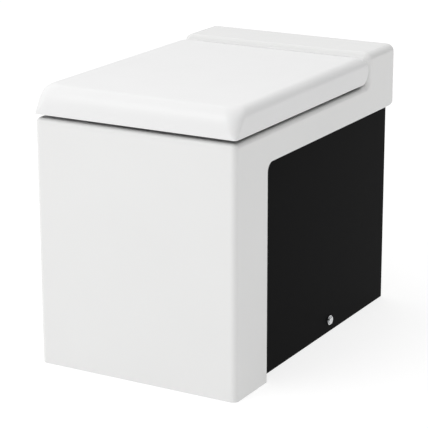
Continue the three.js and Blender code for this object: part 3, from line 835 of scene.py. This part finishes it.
def lid_rings(s, wall=0.0, heights=None):
    """Rings up the lid: near-square corners that grow rounder upwards, a full nose and a round back, all drawn in
    by the wall."""
    edge, nose, tall = s.lid_edge / MM, s.nose / MM, s.nose_height / MM
    rings = []
    for z in heights or lid_levels():
        over = max(z - (LID_TOP - edge), 0) / edge
        side = edge * (1 - math.sqrt(max(1 - over**2, 0)))
        over = max(z - (LID_TOP - tall), 0) / tall
        front = nose * (1 - math.sqrt(max(1 - over**2, 0))) + wall
        rear = HINGE_D + math.sqrt(max((LID_R - wall) ** 2 - (z - HINGE_Z) ** 2, 0))
        rise = min((z - LID_LOW) / (LID_TOP - LID_LOW) * 1.25, 1)
        bend = max(FOOT_CORNER + (s.lid_corner / MM - FOOT_CORNER) * math.sin(rise * math.pi / 2), wall)
        half = LID_HALF - side - wall
        back_bend = 1.6 + 0.35 * side
        ring = []
        for x, y, r, turn in (
            (half, front, bend, -90),
            (half, rear, back_bend, 0),
            (-half, rear, back_bend, 90),
            (-half, front, bend, 180),
        ):
            cx, cy = x - math.copysign(r, x), y + (r if y == front else -r)
            for k in range(13):
                a = math.radians(turn + 90 * k / 12)
                ring.append((cx + r * math.cos(a), cy + r * math.sin(a), z))
        rings.append(ring)
    return rings


def hinge_rod(radius, a0, a1, finish="resin"):
    return turned("rod", [(a0, radius), (a1, radius)], ACROSS, (0, HINGE_D, HINGE_Z), finish, 48)


def paint_rim_shade(lid):
    """Painted shade: gives the flat underside of the lid's rim a black finish, so that the gap under the lid reads as
    dark as a deep shadow; no seal is there.
    """
    # the black rubber finish here is painted shade, not a real seal
    lid.data.materials.append(FINISHES["black_rubber"])
    for face in lid.data.polygons:
        if face.normal.z < -0.9 and face.center.z / MM < LID_FOOT + 0.3:
            face.material_index = len(lid.data.materials) - 1


def make_lid(s):
    wall = s.lid_wall / MM
    lid = stacked("lid_moulding", lid_rings(s), "resin")
    heights = [LID_LOW - 40, LID_LOW, *(LID_LOW + (LID_UNDER - LID_LOW) * k / 12 for k in range(1, 12)), LID_UNDER]
    room = lid_rings(s, wall, heights)
    room[0] = [(x, y, LID_LOW - 40) for x, y, _ in room[1]]
    bays = [
        box("bay", tuple(sorted((side * (INSIDE - 46), side * (OUTSIDE + 46)))), (HINGE_D - 40, HINGE_D + 40),
            (LID_LOW - 40, LID_UNDER), "resin", 3)
        for _, side in SIDES
    ]
    cut(lid, stacked("room", room, "resin"), *bays)
    lugs = []
    for x0, x1 in KNUCKLES["lid"]:
        lugs.append(rounded_rod("knuckle", x0, x1, KNUCKLE_R, ACROSS, (0, HINGE_D, HINGE_Z), "resin", 0.8))
        web = (HINGE_D - 9, HINGE_D + 9), (HINGE_Z, LID_UNDER + 2)
        lugs.append(box("web", (x0 + 0.4, x1 - 0.4), *web, "resin", 2))
    join(lid, *lugs)
    x0, x1 = KNUCKLES["lid"][0]
    pin = hinge_rod(PIN_BORE, -OUTSIDE - BARREL - 2, OUTSIDE + KNUCKLE + 2)
    cut(lid, pin, hinge_rod(DAMPER_BORE, x0 - 2, x1 - 6))
    # painted shade: the underside of the rim is made black to darken the gap under the lid
    paint_rim_shade(lid)
    hand_over(lid, "lid", "seat_resin", "lid")


SEAT_CORNER, SEAT_ROLL = 24, 6.5
HOLE_FRONT, HOLE_CORNER = 70, 96


def make_seat(s):
    half = high("seat_ring").x / MM
    front = (low("seat_ring").y - FRONT) / MM
    back = HINGE_D - LID_R - 1
    plan = rectangle(-half, half, front, back, SEAT_CORNER, SEAT_ROLL, 12)
    body = rolled("seat_ring_moulding", plan, SEAT_LOW, SEAT_TOP, UP, "resin", 7)
    w, l, dish = s.hole_width / MM / 2, s.hole_length / MM, s.dish / MM
    levels = [(SEAT_LOW - 20, -4), (SEAT_LOW, -4), (SEAT_LOW + 1.2, -1.8), (SEAT_LOW + 4, 0), (SEAT_TOP - 9, 0)]
    levels += [(SEAT_TOP - depth, -out) for depth, out in quarter(dish, 9, 12)[1:]]
    levels += [(SEAT_TOP + 20, -dish)]
    hole = rectangle(-w, w, HOLE_FRONT, HOLE_FRONT + l, HOLE_CORNER, 0, 16)
    cut(body, drawn_out("hole", hole, levels, UP, "resin"))
    lugs = []
    for x0, x1 in KNUCKLES["seat"]:
        lugs.append(rounded_rod("knuckle", x0, x1, KNUCKLE_R, ACROSS, (0, HINGE_D, HINGE_Z), "resin", 0.8))
        arm = (HINGE_D - 34, HINGE_D), (SEAT_LOW + 5, SEAT_TOP - 1)
        lugs.append(box("arm", (x0 + 0.4, x1 - 0.4), *arm, "resin", 2, 1.5))
    join(body, *lugs)
    x0, x1 = KNUCKLES["seat"][1]
    cut(body, hinge_rod(PIN_BORE, -INSIDE - 4, INSIDE + 4), hinge_rod(DAMPER_BORE, x0 - 2, x1 - 6))
    hand_over(body, "seat", "seat_resin", "seat_ring")


# ------------------------------------------------------------------ hinges
def make_hinges():
    foot = low("hinge_post_left").z / MM
    for word, side in SIDES:
        x = side * HINGE_X
        post = turned(
            "hinge_post_%s_casting" % word,
            [(foot, 13.6), (foot + 0.4, 14.3), (foot + 1, 14.5), (foot + 2.6, 14.5), (foot + 3.5, 14.0),
             (foot + 4, 13.0)],
            UP, (x, HINGE_D, 0), "chrome",
        )
        join(
            post,
            box("column", (x - 9, x + 9), (HINGE_D - 9, HINGE_D + 9), (foot + 1, HINGE_Z), "chrome", 3.5),
            rounded_rod("barrel", x - 14, x + 14, KNUCKLE_R, ACROSS, (0, HINGE_D, HINGE_Z), "chrome", 1.2),
        )
        button = middle("release_button_%s" % word)
        cut(
            post,
            hinge_rod(PIN_BORE, x - 20, x + 20, "chrome"),
            turned("hole", [(HINGE_D - 30, 3.8), (HINGE_D - 1.6, 3.8)], ALONG, (x, 0, button.z / MM), "chrome", 32),
            turned("hole", [(foot - 5, BOLT_BORE), (foot + 7, BOLT_BORE)], UP, (x, HINGE_D, 0), "chrome", 32),
        )
        hand_over(post, "pan", "chrome", "hinge_post_%s" % word)

        near, far = d_reach("release_button_%s" % word)
        cap = turned(
            "release_button_%s_cap" % word,
            [(near + 0.35, 0.8), (near + 0.1, 1.7), (near, 2.5), (near + 0.2, 3.15), (near + 0.7, 3.5),
             (near + 2.0, 3.5), (near + 2.2, 3.25), (near + 2.6, 3.25), (near + 2.8, 3.5), (far - 0.4, 3.5),
             (far, 3.1)],
            ALONG, (x, 0, button.z / MM), "nylon", 40,
        )
        hand_over(cap, "release_button_%s" % word, "nylon", "release_button_%s" % word)

        z = low("hinge_plate_%s" % word).z / MM
        plate = turned(
            "hinge_plate_%s_disc" % word,
            [(z, 4.4), (z, 15.7), (z + 0.3, 16), (z + 1.1, 16), (z + 1.5, 15.8), (z + 1.7, 15.3), (z + 1.7, 4.9),
             (z + 1.4, 4.4), (z, 4.4)],
            UP, (x, HINGE_D, 0), "steel",
        )
        hand_over(plate, "pan", "hinge_steel", "hinge_plate_%s" % word)

        a0, a1 = x_reach("hinge_pin_%s" % word)
        groove = a0 + 3 if side > 0 else a1 - 3
        pin = turned(
            "hinge_pin_%s_rod" % word,
            [(a0, 3.2), (a0 + 0.8, 4), (groove - 0.6, 4), (groove - 0.6, 3.4), (groove + 0.6, 3.4), (groove + 0.6, 4),
             (a1 - 0.8, 4), (a1, 3.2)],
            ACROSS, (0, HINGE_D, HINGE_Z), "steel", 48,
        )
        hand_over(pin, "pan", "hinge_steel", "hinge_pin_%s" % word)


def make_dampers():
    for word in ("lid", "seat"):
        a0, a1 = x_reach("%s_damper" % word)
        body = turned(
            "%s_damper_cartridge" % word,
            [(a0, 7.6), (a0 + 0.8, 8.4), (a0 + 3, 8.6), (a0 + 9, 8.6), (a0 + 9.5, 8.2), (a0 + 11, 8.2),
             (a0 + 11.5, 8.6), (a1 - 5, 8.6), (a1 - 4.6, 8.2), (a1 - 3.4, 8.2), (a1 - 3, 8.6), (a1 - 0.6, 8.6),
             (a1, 8.0)],
            ACROSS, (0, HINGE_D, HINGE_Z), "nylon",
        )
        slot = (HINGE_D - 5.5, HINGE_D + 5.5), (HINGE_Z - 0.8, HINGE_Z + 0.8)
        cut(body, hinge_rod(PIN_BORE, a1 - 24, a1 + 5, "nylon"), box("slot", (a0 - 1, a0 + 1.4), *slot, "nylon"))
        hand_over(body, word, "nylon", "%s_damper" % word)


# ------------------------------------------------------------------ repeated pieces, by Geometry Nodes
class Tree:
    """A geometry node group under construction, with named inputs for its sizes."""

    def __init__(self, name):
        self.group = bpy.data.node_groups.new(name, "GeometryNodeTree")
        self.group.interface.new_socket(name="Geometry", in_out="INPUT", socket_type="NodeSocketGeometry")
        self.group.interface.new_socket(name="Geometry", in_out="OUTPUT", socket_type="NodeSocketGeometry")
        self.inputs, self.names = self.group.nodes.new("NodeGroupInput"), {}

    def ask(self, name, kind, default):
        made = self.group.interface.new_socket(name=name, in_out="INPUT", socket_type="NodeSocket" + kind)
        made.default_value = default
        self.names[name] = made.identifier
        return self.inputs.outputs[name]

    def node(self, kind, settings=None, sockets=None, output=0):
        made = self.group.nodes.new(kind)
        for name, value in (settings or {}).items():
            setattr(made, name, value)
        for name, value in (sockets or {}).items():
            if isinstance(value, bpy.types.NodeSocket):
                self.group.links.new(value, made.inputs[name])
            else:
                made.inputs[name].default_value = value
        return made.outputs[output]

    def close(self, geometry, finish):
        real = self.node("GeometryNodeRealizeInstances", sockets={"Geometry": geometry})
        painted = self.node("GeometryNodeSetMaterial", sockets={"Geometry": real, "Material": FINISHES[finish]})
        self.group.links.new(painted, self.group.nodes.new("NodeGroupOutput").inputs["Geometry"])
        return self

    def grow(self, name, points, **values):
        """Runs the tree on a mesh of bare points and returns the result as a plain mesh object."""
        seed = bpy.data.meshes.new(name)
        seed.from_pydata([tuple(p) for p in at(points)], [], [])
        made = bpy.data.objects.new(name, seed)
        bpy.context.scene.collection.objects.link(made)
        change = made.modifiers.new("grow", "NODES")
        change.node_group = self.group
        for key, value in values.items():
            change[self.names[key.replace("_", " ")]] = value
        plain_mesh(made)
        return made


def buffer_tree():
    """Domed rubber buffers on points, each a stud of stacked discs that swells to its face."""
    tree = Tree("buffers")
    radius = tree.ask("Radius", "Float", 9 * MM)
    height = tree.ask("Height", "Float", 8 * MM)
    core = tree.node("GeometryNodeMeshCylinder", sockets={
        "Vertices": 48, "Side Segments": 14, "Fill Segments": 8, "Radius": 1.0, "Depth": 1.0,
    })
    place = tree.node("GeometryNodeInputPosition")
    z = tree.node("ShaderNodeSeparateXYZ", sockets={0: place}, output=2)
    rise = tree.node("ShaderNodeMath", {"operation": "MULTIPLY_ADD"}, {0: z, 1: 2.0, 2: 0.0})
    away = tree.node("ShaderNodeMath", {"operation": "ABSOLUTE"}, {0: rise})
    steep = tree.node("ShaderNodeMath", {"operation": "POWER"}, {0: away, 1: 7.0})
    shrink = tree.node("ShaderNodeMath", {"operation": "MULTIPLY_ADD"}, {0: steep, 1: -0.14, 2: 1.0})
    narrow = tree.node("ShaderNodeCombineXYZ", sockets={0: shrink, 1: shrink, 2: 1.0})
    shaped = tree.node("GeometryNodeSetPosition", sockets={
        "Geometry": core,
        "Position": tree.node("ShaderNodeVectorMath", {"operation": "MULTIPLY"}, {0: place, 1: narrow}),
    })
    size = tree.node("ShaderNodeCombineXYZ", sockets={0: radius, 1: radius, 2: height})
    points = tree.inputs.outputs["Geometry"]
    copies = tree.node("GeometryNodeInstanceOnPoints", sockets={"Points": points, "Instance": shaped, "Scale": size})
    return tree.close(copies, "grey_rubber")


def thread_tree(s):
    """A helical thread ridge standing on each point."""
    tree = Tree("thread")
    radius = tree.ask("Core", "Float", 3.4 * MM)
    tall = tree.ask("Length", "Float", 50 * MM)
    turns = tree.ask("Turns", "Float", 40.0)
    ridge = tree.ask("Ridge", "Float", s.thread)
    coil = tree.node("GeometryNodeCurveSpiral", sockets={
        "Resolution": s.facets, "Rotations": turns, "Start Radius": radius, "End Radius": radius, "Height": tall,
    })
    section = tree.node("GeometryNodeCurvePrimitiveCircle", {"mode": "RADIUS"}, {"Resolution": 4, "Radius": ridge})
    swept = tree.node("GeometryNodeCurveToMesh", sockets={"Curve": coil, "Profile Curve": section, "Fill Caps": True})
    points = tree.inputs.outputs["Geometry"]
    copies = tree.node("GeometryNodeInstanceOnPoints", sockets={"Points": points, "Instance": swept})
    return tree.close(copies, "zinc")


def make_buffers():
    tree = buffer_tree()
    for layer in ("seat", "lid"):
        nodes = ["%s_buffer_%s_%s" % (layer, place, word) for place in ("front", "rear") for word, _ in SIDES]
        first_low, first_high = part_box(nodes[0])
        centres = [middle(n) for n in nodes]
        points = [(c.x / MM, (c.y - FRONT) / MM, c.z / MM) for c in centres]
        pads = tree.grow(
            "%s_buffers_rubber" % layer, points,
            Radius=(first_high.x - first_low.x) / 2, Height=first_high.z - first_low.z,
        )
        hand_over(pads, layer, "grey_rubber", *nodes)


def fused(name, *parts):
    """Several closed meshes kept as they are in one object."""
    bm = bmesh.new()
    finishes = []
    for part in parts:
        start = len(bm.faces)
        bm.from_mesh(part.data)
        bm.faces.ensure_lookup_table()
        for face in bm.faces[start:]:
            finish = part.data.materials[face.material_index]
            if finish not in finishes:
                finishes.append(finish)
            face.material_index = finishes.index(finish)
        bpy.data.objects.remove(part)
    data = bpy.data.meshes.new(name)
    bm.to_mesh(data)
    bm.free()
    for finish in finishes:
        data.materials.append(finish)
    made = bpy.data.objects.new(name, data)
    bpy.context.scene.collection.objects.link(made)
    return made


def make_deck_fixings(s):
    threads = thread_tree(s)
    pitch = s.pitch / MM
    for word, side in SIDES:
        x = side * HINGE_X
        z0, z1 = z_reach("hinge_bolt_%s" % word)
        core = turned(
            "core", [(z0, 2.4), (z0 + 1, 3.4), (z1 - 10, 3.4), (z1 - 9.4, 4.0), (z1 - 0.6, 4.0), (z1, 3.4)],
            UP, (x, HINGE_D, 0), "zinc", 40,
        )
        run = z1 - 11 - (z0 + 1.2)
        coil = threads.grow(
            "coil", [(x, HINGE_D, z0 + 1.2)],
            Core=3.44 * MM, Length=run * MM, Turns=run / pitch, Ridge=s.thread,
        )
        bolt = fused("hinge_bolt_%s_stud" % word, core, coil)
        hand_over(bolt, "pan", "zinc_steel", "hinge_bolt_%s" % word)

        w0, w1 = z_reach("bolt_washer_%s" % word)
        washer = turned(
            "bolt_washer_%s_cone" % word,
            [(w0, BOLT_BORE), (w0, 8.0), (w0 + 0.8, 8.8), (w1 - 3.2, 11.8), (w1 - 2.6, 12.7), (w1 - 1.2, 13),
             (w1 - 0.3, 12.8), (w1, 12.2), (w1, BOLT_BORE), (w0, BOLT_BORE)],
            UP, (x, HINGE_D, 0), "black_rubber",
        )
        hand_over(washer, "pan", "black_rubber", "bolt_washer_%s" % word)

        n0, n1 = z_reach("wing_nut_%s" % word)
        nut = turned(
            "wing_nut_%s_moulding" % word,
            [(n0 + 2, 6.2), (n0 + 2.8, 7.0), (n1 - 3, 8.0), (n1 - 1, 8.5), (n1, 8.2)],
            UP, (x, HINGE_D, 0), "nylon", 48,
        )
        wings = [
            rolled(
                "wing",
                outline([
                    corner(x + a, n1 - 3, 0.9, 1.2), corner(x + b, n1 - 3.8, 2.2, 1.2),
                    corner(x + c, n0, 3.6, 1.2), corner(x + d, n0 + 4, 0.9, 1.2),
                ][::turn], 6),
                HINGE_D - 1.8, HINGE_D + 1.8, ALONG, "nylon", 4,
            )
            for a, b, c, d, turn in ((5, 15, 16, 5, -1), (-5, -15, -16, -5, 1))
        ]
        join(nut, *wings)
        bore = [(n0 - 5, BOLT_BORE), (n1 + 5, BOLT_BORE)]
        cut(nut, turned("bore", bore, UP, (x, HINGE_D, 0), "nylon", 32))
        hand_over(nut, "pan", "nylon", "wing_nut_%s" % word)


SIDE_PITCH = 1.6  # rise of the side screws' thread per turn


def make_floor_fixings(s):
    _, d, z = screw_place()
    threads = thread_tree(s)
    for word, side in SIDES:
        near, far = outwards("floor_bracket_%s" % word)
        points, normals, rolls = outline(
            [
                corner(near, 0, 0.8, 0.6), corner(far, 0, 5.5, 0.6), corner(far, 40, 1, 0.6),
                corner(far - 4, 40, 1, 0.6), corner(far - 4, 4, 2, 0.6), corner(near, 4, 0.8, 0.6),
            ],
            6,
        )
        shape = (points * (side, 1), normals * (side, 1), rolls)
        bracket = rolled("floor_bracket_%s_plate" % word, shape, d - 24, d + 24, ALONG, "zinc", 3)
        boss = rounded_rod("boss", *sorted((side * (far - 18), side * (far - 1))), 9, ACROSS, (0, d, z), "zinc", 1.2)
        join(bracket, boss)
        screw_x = side * (far - 40)
        through = sorted([(side * (near - 5), 3.7), (side * (far + 5), 3.7)])
        cut(
            bracket,
            turned("hole", through, ACROSS, (0, d, z), "zinc", 32),
            turned("hole", [(-5, 4), (12, 4)], UP, (screw_x, d, 0), "zinc", 32),
        )
        hand_over(bracket, "pan", "zinc_steel", "floor_bracket_%s" % word)

        top = high("floor_screw_%s" % word).z / MM
        head = rolled(
            "head",
            outline([corner(screw_x + 7.2 * math.cos(a), d + 7.2 * math.sin(a), 0.5, 0.9) for a in
                     (math.radians(30 + 60 * i) for i in range(6))], 4),
            5.4, top, UP, "zinc", 4,
        )
        flange = turned(
            "flange", [(0.1, 2.4), (1, 3.4), (4.3, 3.4), (4.3, 8.4), (4.7, 9.0), (5.2, 8.8), (6.2, 6.6), (6.4, 4)],
            UP, (screw_x, d, 0), "zinc",
        )
        join(head, flange)
        head.name = head.data.name = "floor_screw_%s_hex" % word
        hand_over(head, "pan", "zinc_steel", "floor_screw_%s" % word)

        near, far = outwards("side_screw_%s" % word)
        head = turned(
            "side_screw_%s_pan_head" % word,
            [(side * a, r) for a, r in (
                (near, 0.6), (near + 3, 2.6), (far - 1.9, 2.75), (far - 1.9, 5.7), (far - 1.7, 6), (far - 1.2, 5.9),
                (far - 0.6, 5.0), (far - 0.15, 3.2), (far, 0.8))],
            ACROSS, (0, d, z), "zinc", 48,
        )
        sink = tuple(sorted((side * (far - 1.4), side * (far + 1))))
        arms = [box("cross", sink, (d - a, d + a), (z - b, z + b), "zinc") for a, b in ((2.6, 0.55), (0.55, 2.6))]
        cut(head, *arms)
        run = far - 14 - (near + 3)
        coil = threads.grow(
            "coil", [(0, 0, 0)],
            Core=2.7 * MM, Length=run * MM, Turns=run / SIDE_PITCH, Ridge=s.thread * 1.15,
        )
        coil.data.transform(Matrix.Rotation(math.pi / 2, 4, "Y"))
        start = near + 3 if side > 0 else -(far - 14)
        coil.data.transform(Matrix.Translation(Vector((start, d, z)) * MM + Vector((0, FRONT, 0))))
        screw = fused("side_screw_%s_steel" % word, head, coil)
        hand_over(screw, "pan", "zinc_steel", "side_screw_%s" % word)

        near, far = outwards("screw_sleeve_%s" % word)
        sleeve = turned(
            "screw_sleeve_%s_bush" % word,
            [(side * a, r) for a, r in (
                (near, 3.8), (near, 6.6), (near + 0.8, 7.3), (near + 3, 7.5), (far - 2, 7.5), (far - 0.5, 7.4),
                (far, 7.0), (far, 4.3), (far - 0.5, 3.8), (near, 3.8))],
            ACROSS, (0, d, z), "nylon", 48,
        )
        hand_over(sleeve, "pan", "nylon", "screw_sleeve_%s" % word)


CAP_BORE = 6.6
SLOT_SLANT = math.radians(-28)


def make_caps():
    """Chrome cover caps: a stepped rim and a shallow dome with a slanted slot."""
    _, d, z = screw_place()
    for word, side in SIDES:
        node = "screw_cap_%s" % word
        base, face = outwards(node)
        radius = (high(node).z - low(node).z) / MM / 2
        dome = (
            (base, CAP_BORE), (base, radius), (base + 1.6, radius), (base + 1.9, radius - 0.25),
            (base + 2.0, radius - 0.9), (base + 2.1, radius - 1.3), (base + 3.2, radius - 1.4),
            (base + 3.9, radius - 1.9), (base + 4.4, radius - 3.0), (base + 4.8, radius - 4.6),
            (face - 0.12, radius - 6.3), (face, 0.6), (face - 1.7, 0.6),
        )
        place = (0, d, z)
        cap = turned(node + "_chrome", [(side * a, r) for a, r in dome], ACROSS, place, "chrome")
        room = [(side * (base - 2), CAP_BORE), (side * (face - 1.8), CAP_BORE)]
        cut(cap, turned("room", room, ACROSS, place, "chrome"))
        sink = tuple(sorted((side * (face - 0.9), side * (face + 2))))
        slot = box("slot", sink, (-4.6, 4.6), (-0.75, 0.75), "chrome")
        slot.data.transform(Matrix.Translation((0, -FRONT, 0)))
        slot.data.transform(Matrix.Rotation(SLOT_SLANT, 4, "X"))
        slot.data.transform(Matrix.Translation((0, FRONT + d * MM, z * MM)))
        cut(cap, slot)
        hand_over(cap, node, "chrome", node)


def make_inlet_seal():
    """The rubber seal: a collar against the ceramic and a ribbed throat."""
    a0, a1 = d_reach("inlet_seal")
    mouth = a1 - 4
    inner = [(a0, 18.4), (a0 + 2, 18)]
    for k in range(4):
        rib = a0 + 5 + 5 * k
        inner += [(rib - 1.2, 18.8), (rib - 0.4, 18.1), (rib + 0.4, 18.1), (rib + 1.2, 18.8)]
    inner += [(a1 - 3, 18.8), (a1, 20.2)]
    outer = [(a1, 29.6), (a1 - 0.4, 30.5), (a1 - 1.2, 31), (mouth + 0.3, 31), (mouth + 0.3, 22.1)]
    for k in range(3):
        rib = mouth - 5 - 6 * k
        outer += [(rib + 1.5, 21.6), (rib, 22.1), (rib - 1.5, 21.6)]
    outer += [(a0 + 1.5, 21.4), (a0, 20.6)]
    seal = turned("inlet_seal_rubber", [*inner, *outer, inner[0]], ALONG, (0, 0, INLET_Z), "black_rubber")
    hand_over(seal, "pan", "black_rubber", "inlet_seal")


# ------------------------------------------------------------------ stage
CAMERA_PLACE = (1.4325, -2.2474, 1.0675)  # its second number from the front of the object
CAMERA_TURN = (-0.521, 0.289, -0.003)  # yaw, pitch downwards and roll
KEY_PLACE, KEY_AIM = (-0.9, -2.1, 2.2), (0, 0, 0.4)
FLOOR_HALF = 14


def make_stage(s):
    scene = bpy.context.scene
    scene.view_settings.view_transform = "Standard"
    camera = bpy.data.objects.new("camera", bpy.data.cameras.new("camera"))
    scene.collection.objects.link(camera)
    camera.data.sensor_width = 36
    camera.data.lens = s.lens
    camera.data.clip_end = 30
    yaw, pitch, roll = CAMERA_TURN
    ahead = Vector((math.sin(yaw) * math.cos(pitch), math.cos(yaw) * math.cos(pitch), -math.sin(pitch)))
    right = Vector((math.cos(yaw), -math.sin(yaw), 0))
    up = right.cross(ahead)
    turned_right = right * math.cos(roll) + up * math.sin(roll)
    turned_up = up * math.cos(roll) - right * math.sin(roll)
    turn = Matrix((turned_right, turned_up, -ahead)).transposed()
    place = Vector(CAMERA_PLACE) + Vector((0, FRONT, 0))
    camera.matrix_world = Matrix.Translation(place) @ turn.to_4x4()
    scene.camera = camera

    world = bpy.data.worlds.new("studio")
    scene.world = world
    world.use_nodes = True
    sky = Shading(world.node_tree)
    way = sky.node("TexCoord", output="Generated")
    parts = {axis: sky.node("SeparateXYZ", sockets={0: way}, output=axis) for axis in "XYZ"}
    rise = sky.node("MapRange", {"interpolation_type": "SMOOTHSTEP"}, {0: parts["Z"], 1: s.rise_low, 2: s.rise_high})
    around = (
        (s.left + s.right) / 2 + parts["X"] * ((s.right - s.left) / 2) + parts["Y"] * ((s.back - s.front) / 2)
    )
    shade = sky.node("Math", {"operation": "MAXIMUM"}, {0: parts["X"], 1: 0.0}) ** s.fall * s.shade
    dusk = sky.node("MapRange", {"interpolation_type": "SMOOTHSTEP"}, {0: parts["Z"], 2: s.dusk_high, 3: s.dusk})
    level = (around * (1 - rise) + rise * s.overhead) * (1 - shade * (1 - rise)) * dusk
    glow = world.node_tree.nodes["Background"]
    glow.inputs["Color"].default_value = (1, 1, 1, 1)
    world.node_tree.links.new(level.socket, glow.inputs["Strength"])

    lamp = bpy.data.lights.new("key", "AREA")
    lamp.shape, lamp.size, lamp.size_y, lamp.energy = "RECTANGLE", 1.6, 1.1, s.key
    key = bpy.data.objects.new("key", lamp)
    scene.collection.objects.link(key)
    key.location = KEY_PLACE
    key.rotation_euler = (Vector(KEY_AIM) - key.location).to_track_quat("-Z", "Y").to_euler()

    data = bpy.data.meshes.new("studio_floor")
    ends = ((-1, -1), (1, -1), (1, 1), (-1, 1))
    data.from_pydata([(x * FLOOR_HALF, y * FLOOR_HALF, 0) for x, y in ends], [], [(0, 1, 2, 3)])
    floor = bpy.data.objects.new("studio_floor", data)
    scene.collection.objects.link(floor)
    floor.location.z = -0.0004
    paper = Finish("studio_paper", Specular_IOR_Level=0.0, Roughness=1.0, Emission_Strength=s.floor_glow)
    paper.shader.inputs["Base Color"].default_value = (*s.floor, 1)
    paper.shader.inputs["Emission Color"].default_value = (1, 1, 1, 1)
    data.materials.append(paper.material)


# ------------------------------------------------------------------ operators and panel
class TOILET_OT_stage(bpy.types.Operator):
    """Sets up the camera, the lights and the floor."""

    bl_idname = "toilet.stage"
    bl_label = "Stage"

    def execute(self, context):
        make_stage(context.scene.toilet_stage)
        return {"FINISHED"}


class TOILET_OT_finishes(bpy.types.Operator):
    """Makes the procedural materials."""

    bl_idname = "toilet.finishes"
    bl_label = "Finishes"

    def execute(self, context):
        make_finishes(context.scene.toilet_finish)
        return {"FINISHED"}


class TOILET_OT_shell(bpy.types.Operator):
    """Builds the white ceramic shell."""

    bl_idname = "toilet.shell"
    bl_label = "Shell"

    def execute(self, context):
        make_shell(context.scene.toilet_shell)
        return {"FINISHED"}


class TOILET_OT_pedestal(bpy.types.Operator):
    """Builds the black recessed pedestal."""

    bl_idname = "toilet.pedestal"
    bl_label = "Pedestal"

    def execute(self, context):
        make_pedestal(context.scene.toilet_shell)
        return {"FINISHED"}


class TOILET_OT_bowl(bpy.types.Operator):
    """Builds the bowl, the trapway and the flush inlet."""

    bl_idname = "toilet.bowl"
    bl_label = "Bowl"

    def execute(self, context):
        make_bowl()
        return {"FINISHED"}


class TOILET_OT_lid(bpy.types.Operator):
    """Builds the wrap-over lid."""

    bl_idname = "toilet.lid"
    bl_label = "Lid"

    def execute(self, context):
        make_lid(context.scene.toilet_seat)
        return {"FINISHED"}


class TOILET_OT_seat(bpy.types.Operator):
    """Builds the seat ring."""

    bl_idname = "toilet.seat"
    bl_label = "Seat"

    def execute(self, context):
        make_seat(context.scene.toilet_seat)
        return {"FINISHED"}


class TOILET_OT_hinges(bpy.types.Operator):
    """Builds the posts, plates, pins and release buttons."""

    bl_idname = "toilet.hinges"
    bl_label = "Hinges"

    def execute(self, context):
        make_hinges()
        return {"FINISHED"}


class TOILET_OT_dampers(bpy.types.Operator):
    """Builds the soft-close cartridges."""

    bl_idname = "toilet.dampers"
    bl_label = "Dampers"

    def execute(self, context):
        make_dampers()
        return {"FINISHED"}


class TOILET_OT_buffers(bpy.types.Operator):
    """Builds the rubber buffers of the lid and the seat."""

    bl_idname = "toilet.buffers"
    bl_label = "Buffers"

    def execute(self, context):
        make_buffers()
        return {"FINISHED"}


class TOILET_OT_deck_fixings(bpy.types.Operator):
    """Builds the hinge bolts, washers and wing nuts."""

    bl_idname = "toilet.deck_fixings"
    bl_label = "Deck fixings"

    def execute(self, context):
        make_deck_fixings(context.scene.toilet_screw)
        return {"FINISHED"}


class TOILET_OT_floor_fixings(bpy.types.Operator):
    """Builds the brackets, screws and sleeves."""

    bl_idname = "toilet.floor_fixings"
    bl_label = "Floor fixings"

    def execute(self, context):
        make_floor_fixings(context.scene.toilet_screw)
        return {"FINISHED"}


class TOILET_OT_caps(bpy.types.Operator):
    """Builds the chrome cover caps."""

    bl_idname = "toilet.caps"
    bl_label = "Caps"

    def execute(self, context):
        make_caps()
        return {"FINISHED"}


class TOILET_OT_inlet_seal(bpy.types.Operator):
    """Builds the rubber seal of the flush inlet."""

    bl_idname = "toilet.inlet_seal"
    bl_label = "Inlet seal"

    def execute(self, context):
        make_inlet_seal()
        return {"FINISHED"}


OPERATORS = (
    TOILET_OT_stage,
    TOILET_OT_finishes,
    TOILET_OT_shell,
    TOILET_OT_pedestal,
    TOILET_OT_bowl,
    TOILET_OT_lid,
    TOILET_OT_seat,
    TOILET_OT_hinges,
    TOILET_OT_dampers,
    TOILET_OT_buffers,
    TOILET_OT_deck_fixings,
    TOILET_OT_floor_fixings,
    TOILET_OT_caps,
    TOILET_OT_inlet_seal,
)
SETTINGS = (
    ("toilet_shell", ShellSettings),
    ("toilet_seat", SeatSettings),
    ("toilet_finish", FinishSettings),
    ("toilet_screw", ScrewSettings),
    ("toilet_stage", StageSettings),
)


class TOILET_PT_panel(bpy.types.Panel):
    """Lists the pieces and the sizes they are made from."""

    bl_label = "Toilet"
    bl_space_type = "VIEW_3D"
    bl_region_type = "UI"
    bl_category = "Toilet"

    def draw(self, context):
        for made in OPERATORS:
            self.layout.operator(made.bl_idname)
        for name, group in SETTINGS:
            column = self.layout.column(align=True)
            for field in group.__annotations__:
                column.prop(getattr(context.scene, name), field)


CLASSES = [*(group for _, group in SETTINGS), *OPERATORS, TOILET_PT_panel]


def register():
    for made in CLASSES:
        bpy.utils.register_class(made)
    for name, group in SETTINGS:
        setattr(bpy.types.Scene, name, PointerProperty(type=group))


def unregister():
    for name, _ in SETTINGS:
        delattr(bpy.types.Scene, name)
    for made in reversed(CLASSES):
        bpy.utils.unregister_class(made)


def main():
    register()
    for made in OPERATORS:
        getattr(bpy.ops.toilet, made.bl_idname.removeprefix("toilet."))()


if __name__ == "__main__":
    main()
